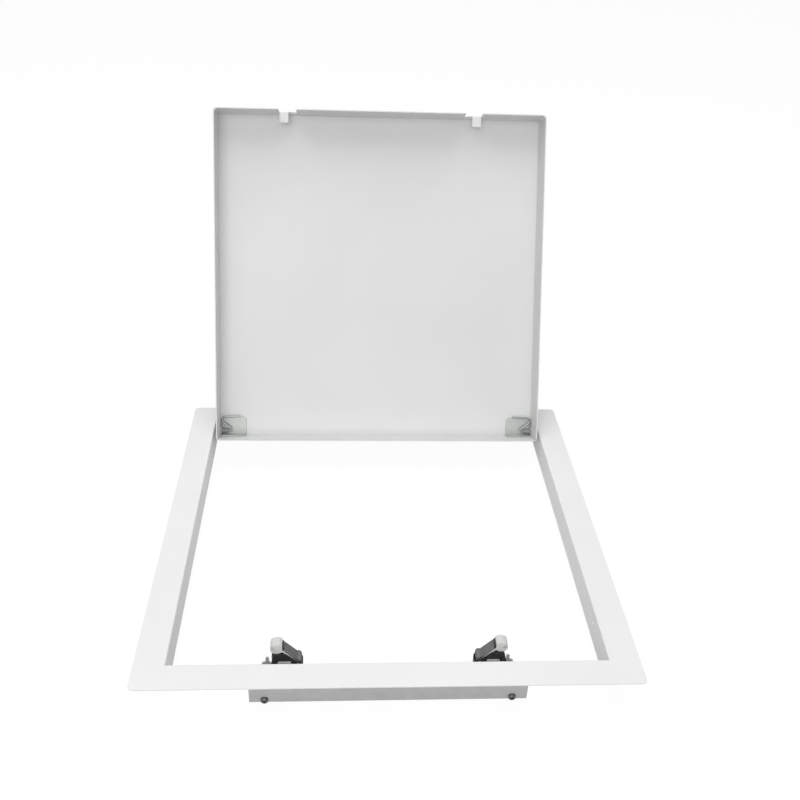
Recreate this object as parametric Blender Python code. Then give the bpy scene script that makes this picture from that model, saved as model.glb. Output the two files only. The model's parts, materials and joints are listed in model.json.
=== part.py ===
"""Ceiling access panel: a picture-frame steel panel lying face up, its door open and leaning back.

Sizes are in millimetres and are scaled to metres when a mesh is made. The panel is laid out with the
frame's room face at height 0 and the opening centred. X runs along the hinge, Y from the latch side
to the hinge side, Z towards the room. The finished assembly is then moved so that its own origin
lies under the middle of its bounding box.
"""

import math

import bmesh
import bpy
from mathutils import Matrix, Vector

# Frame
OUTER_SIZE = 400.0
FLANGE_WIDTH = 25.0
FRAME_SHEET = 1.0
UPSTAND_DEPTH = 26.0
FRAME_CORNER_RADIUS = 4.5
FRAME_BEND = 1.2
FIXING_HOLE = 4.5
FIXING_HOLE_SPACING = 244.0
FIXING_HOLE_DEPTH = 12.0

# Door pan
DOOR_GAP = 4.5
DOOR_SHEET = 1.0
DOOR_RETURN = 36.0
DOOR_BEND = 1.2
CORNER_RELIEF = 3.0
CORNER_RELIEF_DEPTH = 4.0
NOTCH_WIDTH = 18.0
STRIKE_DEPTH = 18.0
STRIKE_LENGTH = 10.0
STRIKE_WIDTH = 9.2
STRIKE_BEND = 0.6

# Hinge
PIN_INSET = 6.3
PIN_DEPTH = 6.7
PIN_DIAMETER = 2.0
PIN_HOLE = 2.6
PIN_PAST_UPSTAND = 2.5
LEAN_GAP = 0.3
SLEEVE_DIAMETER = 5.5
SLEEVE_LENGTH = 6.2
SLEEVE_NECK = 4.0
SLEEVE_COLLAR = 1.2
WIRE_FIRST_BEND = 2.0
WIRE_FIRST_TURN = 140.6
WIRE_SLANT = 7.2
WIRE_LOOP = 3.9
WIRE_LOOP_TURN = 137.6
WIRE_GRIP = 14.0
BRACKET_SHEET = 1.2
BRACKET_LENGTH = 27.0
BRACKET_WIDTH = 21.0
BRACKET_WALL = 11.0
BRACKET_CORNER = 4.0
BRACKET_SIDE_WALL = 13.0

# Rail and its screws
RAIL_END = 12.3
RAIL_SHEET = 1.2
RAIL_TOP = 8.0
RAIL_CLEARANCE = 5.7
RAIL_SHELF = 30.0
RAIL_CORNER = 3.0
SCREW_HEAD = 6.4
SCREW_HEAD_HEIGHT = 2.2
SCREW_SHANK = 3.0
SCREW_RISE = 3.8
RAIL_SCREW_LENGTH = 4.4
HOUSING_SCREW_HEAD = 5.4
HOUSING_SCREW_HEAD_HEIGHT = 1.7

# Touch latch. Its sizes along X are measured outward from the jaw's pivot, its heights from the pivot
PIVOT_X = 73.0
PIVOT_DEPTH = 11.5
HOUSING_FRONT = 10.5
HOUSING_DEPTH = 12.0
HOUSING_INNER = -3.5
HOUSING_OUTER = 21.8
HOUSING_TOP = 8.3
HOUSING_FLOOR = 2.0
HOUSING_SCREWS = (3.5, 15.0)
CHEEK = 1.2
RAIL_SCREW_REACH = 26.7
STRIKE_REACH = 31.8
EAR_HEIGHT = 7.5
EAR_WIDTH = 8.0
BRACKET_END = 4.3
LUG_TOP = -5.5
CLIP_SPAN = (7.2, 18.3)
CLIP_TOP = 2.6
CLIP_SHEET = 1.0
JAW_SWING = 51.0
ARM_SLOPE = 41.0
ARM_LENGTH = 21.0
ARM_THICKNESS = 2.6
ARM_RISE = 1.8
BARREL_RADIUS = 2.6
MOUTH_DEPTH = 4.4
PAD_FROM = 3.9
PAD_TO = 19.4
PAD_RIBS = 7
PAD_BASE = 1.1
PAD_TOP = 1.5
SPRING_FROM = 14.6
SPRING_TO = 18.4
SPRING_WIRE = 0.6
SPRING_RADIUS = 1.75
SPRING_PITCH = 0.7

# Clearance left between two pieces that touch
GAP = 0.3

MM = 0.001
OPENING_HALF = OUTER_SIZE / 2 - FLANGE_WIDTH
DOOR_HALF = OPENING_HALF - DOOR_GAP
PIN_Y = DOOR_HALF - PIN_INSET
PIN_POINT = Vector((0.0, PIN_Y, -PIN_DEPTH))
RAIL_BOTTOM = DOOR_RETURN + RAIL_CLEARANCE
RAIL_SCREW_X = PIVOT_X + RAIL_SCREW_REACH
RAIL_HALF_LENGTH = RAIL_SCREW_X + RAIL_END
STRIKE_OUTER = PIVOT_X + STRIKE_REACH
SCREW_Z = -RAIL_BOTTOM + SCREW_RISE
HOUSING_MIDDLE = -OPENING_HALF + HOUSING_FRONT + HOUSING_DEPTH / 2
BASE_BOTTOM = -RAIL_BOTTOM + RAIL_SHEET + GAP
BASE_TOP = BASE_BOTTOM + BRACKET_SHEET
FLOOR_BOTTOM = BASE_TOP + GAP
FLOOR_TOP = FLOOR_BOTTOM + HOUSING_FLOOR


def open_angle():
    """The angle from closed at which the door's face leans on the flange's inner edge."""
    reach = OPENING_HALF - PIN_Y
    size = math.hypot(reach, PIN_DEPTH)
    return math.pi - math.asin((PIN_DEPTH + LEAN_GAP) / size) - math.atan2(PIN_DEPTH, reach)


DOOR_ANGLE = open_angle()


def clear_scene():
    for item in list(bpy.data.objects):
        bpy.data.objects.remove(item, do_unlink=True)


clear_scene()
panel_parts = bpy.data.collections.new("ceiling_access_panel")
bpy.context.scene.collection.children.link(panel_parts)
cutting_tools = bpy.data.collections.new("cutting_tools")
bpy.context.scene.collection.children.link(cutting_tools)
cutting_tools.hide_render = True


def linear(value):
    return value / 12.92 if value <= 0.04045 else ((value + 0.055) / 1.055) ** 2.4


def finish(name, colour, roughness, metallic=0.0):
    """A Principled material whose colour is given as written in the photo's own tones."""
    material = bpy.data.materials.new(name)
    material.use_nodes = True
    shader = material.node_tree.nodes["Principled BSDF"]
    channels = [linear(int(colour[i : i + 2], 16) / 255) for i in (0, 2, 4)]
    shader.inputs["Base Color"].default_value = (*channels, 1.0)
    shader.inputs["Roughness"].default_value = roughness
    shader.inputs["Metallic"].default_value = metallic
    material.diffuse_color = (*channels, 1.0)
    return material


def empty_at(name, point, parent=None):
    marker = bpy.data.objects.new(name, None)
    marker.empty_display_size = 0.02
    marker.location = Vector(point) * MM
    marker.parent = parent
    panel_parts.objects.link(marker)
    return marker


def mesh_from(shape, origin):
    """The bmesh as a mesh in metres, measured from the origin given in millimetres."""
    bmesh.ops.recalc_face_normals(shape, faces=shape.faces)
    bmesh.ops.translate(shape, vec=-Vector(origin), verts=shape.verts)
    bmesh.ops.scale(shape, vec=(MM, MM, MM), verts=shape.verts)
    mesh = bpy.data.meshes.new("shape")
    shape.to_mesh(mesh)
    shape.free()
    return mesh


def solid(name, shape, material, parent, origin=(0.0, 0.0, 0.0), rounded=False):
    """One node of the panel. Its origin is the point given, which is also where its parent stands."""
    mesh = mesh_from(shape, origin)
    if rounded:
        mesh.shade_smooth()
        mesh.set_sharp_from_angle(angle=math.radians(38))
    mesh.materials.append(material)
    item = bpy.data.objects.new(name, mesh)
    item.parent = parent
    panel_parts.objects.link(item)
    return item


def combine(item, shape, operation, origin=(0.0, 0.0, 0.0)):
    """Adds a shape to a node, or takes it away, by an exact Boolean."""
    tool = bpy.data.objects.new(item.name + "_tool", mesh_from(shape, origin))
    tool.parent = item.parent
    tool.hide_render = True
    tool.display_type = "WIRE"
    cutting_tools.objects.link(tool)
    modifier = item.modifiers.new(operation.lower(), "BOOLEAN")
    modifier.operation = operation
    modifier.solver = "EXACT"
    modifier.object = tool


def add_box(shape, x_range, y_range, z_range):
    sizes = [abs(r[1] - r[0]) for r in (x_range, y_range, z_range)]
    middle = [(r[0] + r[1]) / 2 for r in (x_range, y_range, z_range)]
    matrix = Matrix.Translation(middle) @ Matrix.Diagonal((*sizes, 1.0))
    bmesh.ops.create_cube(shape, size=1.0, matrix=matrix)


def box(x_range, y_range, z_range):
    shape = bmesh.new()
    add_box(shape, x_range, y_range, z_range)
    return shape


def add_rod(shape, start, end, radius, segments=24):
    """A closed cylinder between two points."""
    start = Vector(start)
    along = Vector(end) - start
    turn = along.to_track_quat("Z", "Y").to_matrix().to_4x4()
    matrix = Matrix.Translation(start + along / 2) @ turn
    bmesh.ops.create_cone(
        shape,
        cap_ends=True,
        segments=segments,
        radius1=radius,
        radius2=radius,
        depth=along.length,
        matrix=matrix,
    )


def add_prism(shape, outline, axis, start, end):
    """An outline in the plane across the axis, drawn out from start to end along it."""
    order = {"x": (2, 0, 1), "y": (0, 2, 1), "z": (0, 1, 2)}[axis]
    corners = []
    for first, second in outline:
        point = (first, second, start)
        corners.append(shape.verts.new([point[i] for i in order]))
    face = shape.faces.new(corners)
    grown = bmesh.ops.extrude_face_region(shape, geom=[face])
    moved = [v for v in grown["geom"] if isinstance(v, bmesh.types.BMVert)]
    step = (0.0, 0.0, end - start)
    bmesh.ops.translate(shape, vec=[step[i] for i in order], verts=moved)


def prism(outline, axis, start, end):
    shape = bmesh.new()
    add_prism(shape, outline, axis, start, end)
    return shape


def arc(centre, radius, start, end, steps):
    """Points on an arc, its angles in degrees."""
    points = []
    for i in range(steps + 1):
        angle = math.radians(start + (end - start) * i / steps)
        points.append((centre[0] + radius * math.cos(angle), centre[1] + radius * math.sin(angle)))
    return points


def round_corners(outline, radius, steps=3):
    """The outline with an arc of about this radius at each corner, as a mould or a press leaves it."""
    points = []
    for i, corner in enumerate(outline):
        corner = Vector(corner)
        before = Vector(outline[i - 1]) - corner
        after = Vector(outline[(i + 1) % len(outline)]) - corner
        half = before.angle(after) / 2
        back = min(radius / math.tan(half), before.length * 0.45, after.length * 0.45)
        first = corner + before.normalized() * back
        last = corner + after.normalized() * back
        for j in range(steps + 1):
            share = j / steps
            near = first.lerp(corner, share)
            far = corner.lerp(last, share)
            points.append(tuple(near.lerp(far, share)))
    return points


def rounded_square(half, radius, steps=6):
    inner = half - radius
    points = []
    for quarter, (across, along) in enumerate(((1, 1), (-1, 1), (-1, -1), (1, -1))):
        points += arc((across * inner, along * inner), radius, 90 * quarter, 90 * quarter + 90, steps)
    return points


def square_rings(rings, closed):
    """Square rings of (half width, height) joined in order, capped at both ends or joined end to end."""
    shape = bmesh.new()
    rows = []
    for half, height in rings:
        corners = ((half, half), (-half, half), (-half, -half), (half, -half))
        rows.append([shape.verts.new((x, y, height)) for x, y in corners])
    count = len(rows)
    for i in range(count if closed else count - 1):
        near, far = rows[i], rows[(i + 1) % count]
        for j in range(4):
            k = (j + 1) % 4
            shape.faces.new((near[j], near[k], far[k], far[j]))
    if not closed:
        shape.faces.new(rows[0])
        shape.faces.new(rows[-1])
    return shape


def turned(profile, start, direction, segments=32):
    """A round piece from (distance along, radius) points: closed over the axis, or a bored ring."""
    shape = bmesh.new()
    turn = Vector(direction).to_track_quat("Z", "Y").to_matrix().to_4x4()
    matrix = Matrix.Translation(Vector(start)) @ turn
    rows = []
    for along, radius in profile:
        count = segments if radius > 0 else 1
        row = []
        for i in range(count):
            angle = 2 * math.pi * i / segments
            point = Vector((radius * math.cos(angle), radius * math.sin(angle), along))
            row.append(shape.verts.new(matrix @ point))
        rows.append(row)
    bored = profile[0][1] > 0
    pairs = len(rows) if bored else len(rows) - 1
    for i in range(pairs):
        near, far = rows[i], rows[(i + 1) % len(rows)]
        for j in range(segments):
            k = (j + 1) % segments
            if len(near) == 1:
                shape.faces.new((near[0], far[j], far[k]))
            elif len(far) == 1:
                shape.faces.new((near[j], near[k], far[0]))
            else:
                shape.faces.new((near[j], near[k], far[k], far[j]))
    return shape


def wire(name, points, radius, material, parent, origin=(0.0, 0.0, 0.0)):
    """A bent wire through points in millimetres, as one capped curve."""
    curve = bpy.data.curves.new(name, "CURVE")
    curve.dimensions = "3D"
    curve.bevel_depth = radius * MM
    curve.bevel_resolution = 2
    curve.use_fill_caps = True
    spline = curve.splines.new("POLY")
    spline.points.add(len(points) - 1)
    for place, point in zip(spline.points, points):
        place.co = (*((Vector(point) - Vector(origin)) * MM), 1.0)
    spline.use_smooth = True
    curve.materials.append(material)
    item = bpy.data.objects.new(name, curve)
    item.parent = parent
    panel_parts.objects.link(item)
    return item


def bent_path(start, moves, steps=6):
    """A flat path that sets out along +X: each move is a straight, then a bend's radius and its turn."""
    place = Vector(start)
    heading = 0.0
    points = [tuple(place)]
    for straight, radius, turn in moves:
        place = place + Vector((math.cos(heading), math.sin(heading))) * straight
        points.append(tuple(place))
        if radius == 0:
            continue
        way = math.copysign(1, turn)
        centre = place + Vector((-math.sin(heading), math.cos(heading))) * radius * way
        first = math.degrees(heading) - 90 * way
        bend = arc(centre, radius, first, first + turn, steps)
        points += bend[1:]
        place = Vector(bend[-1])
        heading += math.radians(turn)
    return points


def cross_outline(width, length):
    half, arm = width / 2, length / 2
    return [
        (half, half),
        (half, arm),
        (-half, arm),
        (-half, half),
        (-arm, half),
        (-arm, -half),
        (-half, -half),
        (-half, -arm),
        (half, -arm),
        (half, -half),
        (arm, -half),
        (arm, half),
    ]


# Finishes, in the tones of the photo
white_frame = finish("white_powder_coat_frame", "EEEEEE", 0.45)
white_door = finish("white_powder_coat_door", "E2E3E2", 0.5)
grey_rail = finish("galvanised_steel_rail", "ABABAB", 0.5, 0.6)
grey_bracket = finish("galvanised_steel_bracket", "C4C6C6", 0.45, 0.7)
hinge_plate = finish("zinc_plated_hinge_plate", "C6C8C8", 0.45, 0.4)
bright_wire = finish("zinc_plated_spring_wire", "9A9C9C", 0.3, 0.9)
sleeve_nylon = finish("dark_grey_nylon_sleeve", "6E7070", 0.5)
black_screw = finish("black_oxide_screw", "2C2C2C", 0.4, 0.6)
bright_screw = finish("zinc_plated_screw", "B4B4B0", 0.35, 0.9)
housing_nylon = finish("black_nylon_housing", "262626", 0.4)
jaw_acetal = finish("light_grey_acetal_jaw", "D2D2D0", 0.4)
pad_rubber = finish("dark_grey_rubber_pad", "5E5E5E", 0.7)
steel_pin = finish("bright_steel_pivot_pin", "B0B2B4", 0.25, 1.0)
spring_steel = finish("spring_steel_coil", "8C8E90", 0.3, 1.0)

root = empty_at("panel_root", (0.0, 0.0, 0.0))


def make_frame():
    """Flange and upstand in one folded section round the opening, with crisp inner corners."""
    section = [(0.0, -UPSTAND_DEPTH)]
    section += arc((FRAME_BEND, -FRAME_BEND), FRAME_BEND, 180, 90, 4)
    section += [
        (FLANGE_WIDTH, 0.0),
        (FLANGE_WIDTH, -FRAME_SHEET),
        (FRAME_SHEET + 0.4, -FRAME_SHEET),
        (FRAME_SHEET, -FRAME_SHEET - 0.4),
        (FRAME_SHEET, -UPSTAND_DEPTH),
    ]
    rings = [(OPENING_HALF + offset, height) for offset, height in section]
    frame = solid("frame", square_rings(rings, True), white_frame, root)
    outline = rounded_square(OUTER_SIZE / 2, FRAME_CORNER_RADIUS)
    combine(frame, prism(outline, "z", -UPSTAND_DEPTH - 5, 5), "INTERSECT")
    holes = bmesh.new()
    for side in (-1, 1):
        near = side * (OPENING_HALF - 1)
        far = side * (OPENING_HALF + FRAME_SHEET + 1)
        for end in (-1, 1):
            y = end * FIXING_HOLE_SPACING / 2
            z = -FIXING_HOLE_DEPTH
            add_rod(holes, (near, y, z), (far, y, z), FIXING_HOLE / 2)
        add_rod(holes, (near, PIN_Y, -PIN_DEPTH), (far, PIN_Y, -PIN_DEPTH), PIN_HOLE / 2)
    combine(frame, holes, "DIFFERENCE")


def make_rail():
    """An angle spot-welded behind the latch side's upstand: its shelf carries the two latches."""
    outside = -(OPENING_HALF + FRAME_SHEET + GAP + RAIL_SHEET)
    inside = outside + RAIL_SHEET
    bend = RAIL_SHEET + 0.4
    section = [(outside, -RAIL_TOP)]
    section += arc((outside + bend, -RAIL_BOTTOM + bend), bend, 180, 270, 4)
    section += [
        (-OPENING_HALF + RAIL_SHELF, -RAIL_BOTTOM),
        (-OPENING_HALF + RAIL_SHELF, -RAIL_BOTTOM + RAIL_SHEET),
        (inside + 0.4, -RAIL_BOTTOM + RAIL_SHEET),
        (inside, -RAIL_BOTTOM + RAIL_SHEET + 0.4),
        (inside, -RAIL_TOP),
    ]
    shape = prism(section, "x", -RAIL_HALF_LENGTH, RAIL_HALF_LENGTH)
    rail = solid("latch_rail", shape, grey_rail, root)
    cuts = bmesh.new()
    for side in (-1, 1):
        end = side * RAIL_HALF_LENGTH
        corner = [(end + side * 2, -RAIL_TOP + 2), (end - side * RAIL_CORNER, -RAIL_TOP + 2)]
        corner += [(end - side * RAIL_CORNER, -RAIL_TOP)]
        for angle in (67.5, 45.0, 22.5):
            x = end - side * RAIL_CORNER * (1 - math.cos(math.radians(angle)))
            z = -RAIL_TOP - RAIL_CORNER * (1 - math.sin(math.radians(angle)))
            corner.append((x, z))
        corner += [(end, -RAIL_TOP - RAIL_CORNER), (end + side * 2, -RAIL_TOP - RAIL_CORNER)]
        add_prism(cuts, corner, "y", outside - 2, inside + 2)
        at = (side * RAIL_SCREW_X, outside - 1, SCREW_Z)
        add_rod(cuts, at, (at[0], inside + 0.8, SCREW_Z), SCREW_SHANK / 2 + GAP)
        for reach in HOUSING_SCREWS:
            top = (side * (PIVOT_X + reach), HOUSING_MIDDLE, -RAIL_BOTTOM + RAIL_SHEET + 0.8)
            add_rod(cuts, top, (top[0], top[1], -RAIL_BOTTOM - 1), SCREW_SHANK / 2 + GAP)
    combine(rail, cuts, "DIFFERENCE")


def screw(name, start, direction, head, height, shank, material):
    """A pan-head screw with a cross recess. It starts under the head and points along its shank."""
    crown = height * 0.45
    profile = [(-height, 0.0)]
    for angle in (30.0, 60.0):
        turn = math.radians(angle)
        profile.append((-height + crown * (1 - math.cos(turn)), head / 2 * math.sin(turn)))
    profile += [
        (-height + crown, head / 2),
        (0.0, head / 2),
        (0.0, SCREW_SHANK / 2),
        (shank - 0.5, SCREW_SHANK / 2),
        (shank, SCREW_SHANK / 2 - 0.5),
        (shank, 0.0),
    ]
    item = solid(name, turned(profile, start, direction, 24), material, root, rounded=True)
    recess = prism(cross_outline(0.9, head * 0.58), "z", -height - 1, -height + 1.1)
    turn = Vector(direction).to_track_quat("Z", "Y").to_matrix().to_4x4()
    bmesh.ops.transform(recess, matrix=Matrix.Translation(Vector(start)) @ turn, verts=recess.verts)
    combine(item, recess, "DIFFERENCE")


def latch_y(offset):
    """The Y of a distance inward from the latch side's upstand."""
    return -OPENING_HALF + offset


def mirrored(outline, side):
    return [(side * first, second) for first, second in outline]


def from_pivot(outline, side):
    """Points drawn about the jaw's pivot, outward and up, as X and Z on one side of the panel."""
    return [(side * (PIVOT_X + first), -PIVOT_DEPTH + second) for first, second in outline]


def make_latch_bracket(word, side):
    """The steel bracket: a base on the rail's shelf, a front ear for the screw, a clip and a rear lug."""
    front = -(OPENING_HALF + FRAME_SHEET + GAP) + GAP
    rear = latch_y(HOUSING_FRONT + HOUSING_DEPTH + GAP)
    inner = PIVOT_X + HOUSING_INNER - 1
    outer = RAIL_SCREW_X + BRACKET_END
    low = BASE_BOTTOM + PIVOT_DEPTH
    crease = 0.2
    bend = BRACKET_SHEET + crease
    far = rear + BRACKET_SHEET
    section = [(front, BASE_TOP + EAR_HEIGHT)]
    section += arc((front + bend, BASE_BOTTOM + bend), bend, 180, 270, 4)
    section += arc((far - bend, BASE_BOTTOM + bend), bend, 270, 360, 4)
    section += [
        (far, -PIVOT_DEPTH + LUG_TOP),
        (rear, -PIVOT_DEPTH + LUG_TOP),
        (rear, BASE_TOP + crease),
        (rear - crease, BASE_TOP),
        (front + bend, BASE_TOP),
        (front + BRACKET_SHEET, BASE_TOP + crease),
        (front + BRACKET_SHEET, BASE_TOP + EAR_HEIGHT),
    ]
    shape = prism(section, "x", side * inner, side * outer)
    item = solid("latch_bracket_" + word, shape, grey_bracket, root)
    spare = bmesh.new()
    edge = side * (RAIL_SCREW_X - EAR_WIDTH)
    add_box(spare, (side * (inner - 1), edge), (front - 1, front + bend + crease), (BASE_BOTTOM - 1, 0.0))
    reach = RAIL_SCREW_REACH
    above = [
        (HOUSING_INNER - 2, 0.0),
        (HOUSING_INNER - 2, low + 10),
        (reach - 4.6, low + 10),
        (reach - 3.4, LUG_TOP - 2.6),
        (reach - 2.2, LUG_TOP - 0.6),
        (reach - 1.4, LUG_TOP),
        (reach + 1.2, LUG_TOP),
        (reach + 2.4, LUG_TOP - 0.9),
        (reach + 3.0, LUG_TOP - 3.0),
        (reach + BRACKET_END - 0.5, low + 12),
        (reach + BRACKET_END, low + 9),
        (reach + BRACKET_END + 2, low + 9),
        (reach + BRACKET_END + 2, 0.0),
    ]
    add_prism(spare, from_pivot(above, side), "y", rear - 0.8, far + 1)
    combine(item, spare, "DIFFERENCE")
    near, far = CLIP_SPAN
    foot = low + BRACKET_SHEET / 4
    clip = round_corners([(near, foot), (far, foot), (far, CLIP_TOP), (near, CLIP_TOP)], 1.0)
    face = latch_y(HOUSING_FRONT - GAP)
    clip = prism(from_pivot(clip, side), "y", face - CLIP_SHEET, face)
    combine(item, clip, "UNION")
    holes = bmesh.new()
    x = side * RAIL_SCREW_X
    add_rod(holes, (x, front - 1, SCREW_Z), (x, front + BRACKET_SHEET + 2, SCREW_Z), SCREW_SHANK / 2 + GAP)
    for reach in HOUSING_SCREWS:
        low = (side * (PIVOT_X + reach), HOUSING_MIDDLE, BASE_BOTTOM - 1)
        add_rod(holes, low, (low[0], low[1], BASE_TOP + 1), SCREW_SHANK / 2 + GAP)
    combine(item, holes, "DIFFERENCE")


def make_latch_housing(word, side):
    """Two cheeks that carry the jaw's pivot, on a floor with two end walls."""
    front = HOUSING_FRONT
    rear = HOUSING_FRONT + HOUSING_DEPTH
    low = FLOOR_BOTTOM + PIVOT_DEPTH
    cheek = [(HOUSING_INNER, low), (HOUSING_OUTER, low), (HOUSING_OUTER, -2.5)]
    cheek += [
        (HOUSING_OUTER - 1.2, HOUSING_TOP - 5.0),
        (HOUSING_OUTER - 2.6, HOUSING_TOP - 1.0),
        (HOUSING_OUTER - 3.6, HOUSING_TOP),
        (HOUSING_OUTER - 5.0, HOUSING_TOP),
        (4.2, -1.2),
    ]
    cheek += arc((0.0, 0.0), 2.9, 0, 180, 8)
    cheek += [(HOUSING_INNER, -2.5)]
    cheek = from_pivot(cheek, side)
    shape = prism(cheek, "y", latch_y(front), latch_y(front + CHEEK))
    item = solid("latch_housing_" + word, shape, housing_nylon, root)
    combine(item, prism(cheek, "y", latch_y(rear - CHEEK), latch_y(rear)), "UNION")
    across = (latch_y(front + 0.2), latch_y(rear - 0.2))
    inner = PIVOT_X + HOUSING_INNER
    outer = PIVOT_X + HOUSING_OUTER
    combine(item, box((side * inner, side * outer), across, (FLOOR_BOTTOM, FLOOR_TOP)), "UNION")
    top = -PIVOT_DEPTH - 6.5
    combine(item, box((side * inner, side * (inner + CHEEK)), across, (FLOOR_BOTTOM + 0.1, top)), "UNION")
    top = -PIVOT_DEPTH - 15.5
    combine(item, box((side * (outer - CHEEK), side * outer), across, (FLOOR_BOTTOM + 0.1, top)), "UNION")
    holes = bmesh.new()
    x, z = side * PIVOT_X, -PIVOT_DEPTH
    add_rod(holes, (x, latch_y(front - 1), z), (x, latch_y(rear + 1), z), PIN_DIAMETER / 2 + GAP)
    for reach in HOUSING_SCREWS:
        below = (side * (PIVOT_X + reach), HOUSING_MIDDLE, FLOOR_BOTTOM - 1)
        add_rod(holes, below, (below[0], below[1], FLOOR_TOP + 1), SCREW_SHANK / 2 + GAP)
    combine(item, holes, "DIFFERENCE")


def turned_up(points, angle):
    """Points drawn about the pivot with the jaw shut, turned up to where the open jaw stands."""
    turn = math.radians(angle)
    placed = []
    for u, w in points:
        first = u * math.cos(turn) - w * math.sin(turn)
        second = u * math.sin(turn) + w * math.cos(turn)
        placed.append((first, second))
    return placed


def along_arm(points):
    """Points given as a distance up the open jaw's arm and a height over its top, about the pivot."""
    slope = math.radians(ARM_SLOPE)
    along = Vector((math.cos(slope), math.sin(slope)))
    across = Vector((-math.sin(slope), math.cos(slope)))
    foot = Vector((-0.6, ARM_RISE))
    return [tuple(foot + along * distance + across * lift) for distance, lift in points]


def make_jaw(word, side):
    """The jaw swings on its pin: a barrel, an arm, and a head whose mouth closes on the strike tab."""
    origin = (side * PIVOT_X, 0.0, -PIVOT_DEPTH)
    front = HOUSING_FRONT + CHEEK + GAP
    rear = HOUSING_FRONT + HOUSING_DEPTH - CHEEK - GAP
    marker = empty_at("latch_pivot_" + word, origin, root)
    head = [(24.0, 14.5), (24.0, 10.3), (22.2, 8.3), (18.0, 7.9)]
    head += [(15.0, 9.9), (15.0, 16.3), (16.6, 17.0), (21.6, 17.0)]
    shape = prism(from_pivot(round_corners(head, 1.2), side), "y", latch_y(front), latch_y(rear))
    item = solid("latch_jaw_" + word, shape, jaw_acetal, marker, origin)
    arm = along_arm([(0.2, 0.0), (ARM_LENGTH, 0.0), (ARM_LENGTH, -ARM_THICKNESS), (0.2, -ARM_THICKNESS)])
    combine(item, prism(from_pivot(arm, side), "y", latch_y(front), latch_y(rear)), "UNION", origin)
    barrel = bmesh.new()
    x, z = side * PIVOT_X, -PIVOT_DEPTH
    add_rod(barrel, (x, latch_y(front), z), (x, latch_y(rear), z), BARREL_RADIUS)
    combine(item, barrel, "UNION", origin)
    cuts = bmesh.new()
    add_rod(cuts, (x, latch_y(front - 1), z), (x, latch_y(rear + 1), z), PIN_DIAMETER / 2 + GAP)
    combine(item, cuts, "DIFFERENCE", origin)
    level = PIVOT_DEPTH - STRIKE_DEPTH
    mouth = [(21.6, level - 1.2), (30.0, level - 2.0), (30.0, level + 1.9), (21.6, level + 1.1)]
    mouth = from_pivot(turned_up(mouth, JAW_SWING), side)
    combine(item, prism(mouth, "y", latch_y(front - 1), latch_y(front + MOUTH_DEPTH)), "DIFFERENCE", origin)
    dimple = from_pivot(round_corners([(16.9, 9.9), (20.9, 9.9), (20.9, 12.0), (16.9, 12.0)], 0.5), side)
    combine(item, prism(dimple, "y", latch_y(front - 1), latch_y(front + 1.4)), "DIFFERENCE", origin)
    room = ((side * (PIVOT_X - 4), side * (PIVOT_X + 3.4)), (latch_y(SPRING_FROM), latch_y(SPRING_TO)))
    combine(item, box(*room, (-PIVOT_DEPTH - 4.5, -PIVOT_DEPTH + 6.5)), "DIFFERENCE", origin)
    make_pad(word, side, marker, origin)
    make_spring(word, side, marker, origin)


def make_pad(word, side, marker, origin):
    """The ribbed cover along the top of the jaw's arm."""
    step = (PAD_TO - PAD_FROM) / PAD_RIBS
    outline = [(PAD_FROM, GAP), (PAD_TO, GAP)]
    for i in range(PAD_RIBS):
        end = PAD_TO - i * step
        outline += [(end, PAD_TOP), (end - step * 0.6, PAD_TOP), (end - step * 0.6, PAD_BASE)]
        if i < PAD_RIBS - 1:
            outline.append((end - step, PAD_BASE))
    outline.append((PAD_FROM, PAD_BASE))
    front = HOUSING_FRONT + CHEEK + GAP
    rear = HOUSING_FRONT + HOUSING_DEPTH - CHEEK - GAP
    shape = prism(from_pivot(along_arm(outline), side), "y", latch_y(front), latch_y(rear))
    solid("latch_jaw_pad_" + word, shape, pad_rubber, marker, origin)


def make_spring(word, side, marker, origin):
    """A torsion spring round the pivot pin, one leg under the arm and one down into the housing."""
    turns = 3.75 + ARM_SLOPE / 360
    steps = 58
    leg = 6.0
    tail = 4.0
    first = math.radians(ARM_SLOPE - 90)
    last = first - 2 * math.pi * turns
    points = []
    for i in range(steps + 1):
        angle = first + (last - first) * i / steps
        x = PIVOT_X + SPRING_RADIUS * math.cos(angle)
        z = -PIVOT_DEPTH + SPRING_RADIUS * math.sin(angle)
        y = latch_y(SPRING_FROM + SPRING_WIRE + SPRING_PITCH * turns * i / steps)
        points.append(Vector((side * x, y, z)))
    up = Vector((-side * math.sin(first), 0.0, math.cos(first))) * leg
    down = Vector((side * math.sin(last), 0.0, -math.cos(last))) * tail
    points = [points[0] + up, *points, points[-1] + down]
    wire("latch_spring_" + word, points, SPRING_WIRE / 2, spring_steel, marker, origin)


def make_pivot_pin(word, side):
    front = HOUSING_FRONT - 0.5
    length = HOUSING_DEPTH + 1.0
    radius = PIN_DIAMETER / 2
    edge = 0.2
    profile = [(0.0, 0.0), (0.0, radius - edge), (edge, radius)]
    profile += [(length - edge, radius), (length, radius - edge), (length, 0.0)]
    start = (side * PIVOT_X, latch_y(front), -PIVOT_DEPTH)
    shape = turned(profile, start, (0.0, 1.0, 0.0), 24)
    solid("latch_pivot_pin_" + word, shape, steel_pin, root, rounded=True)


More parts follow.
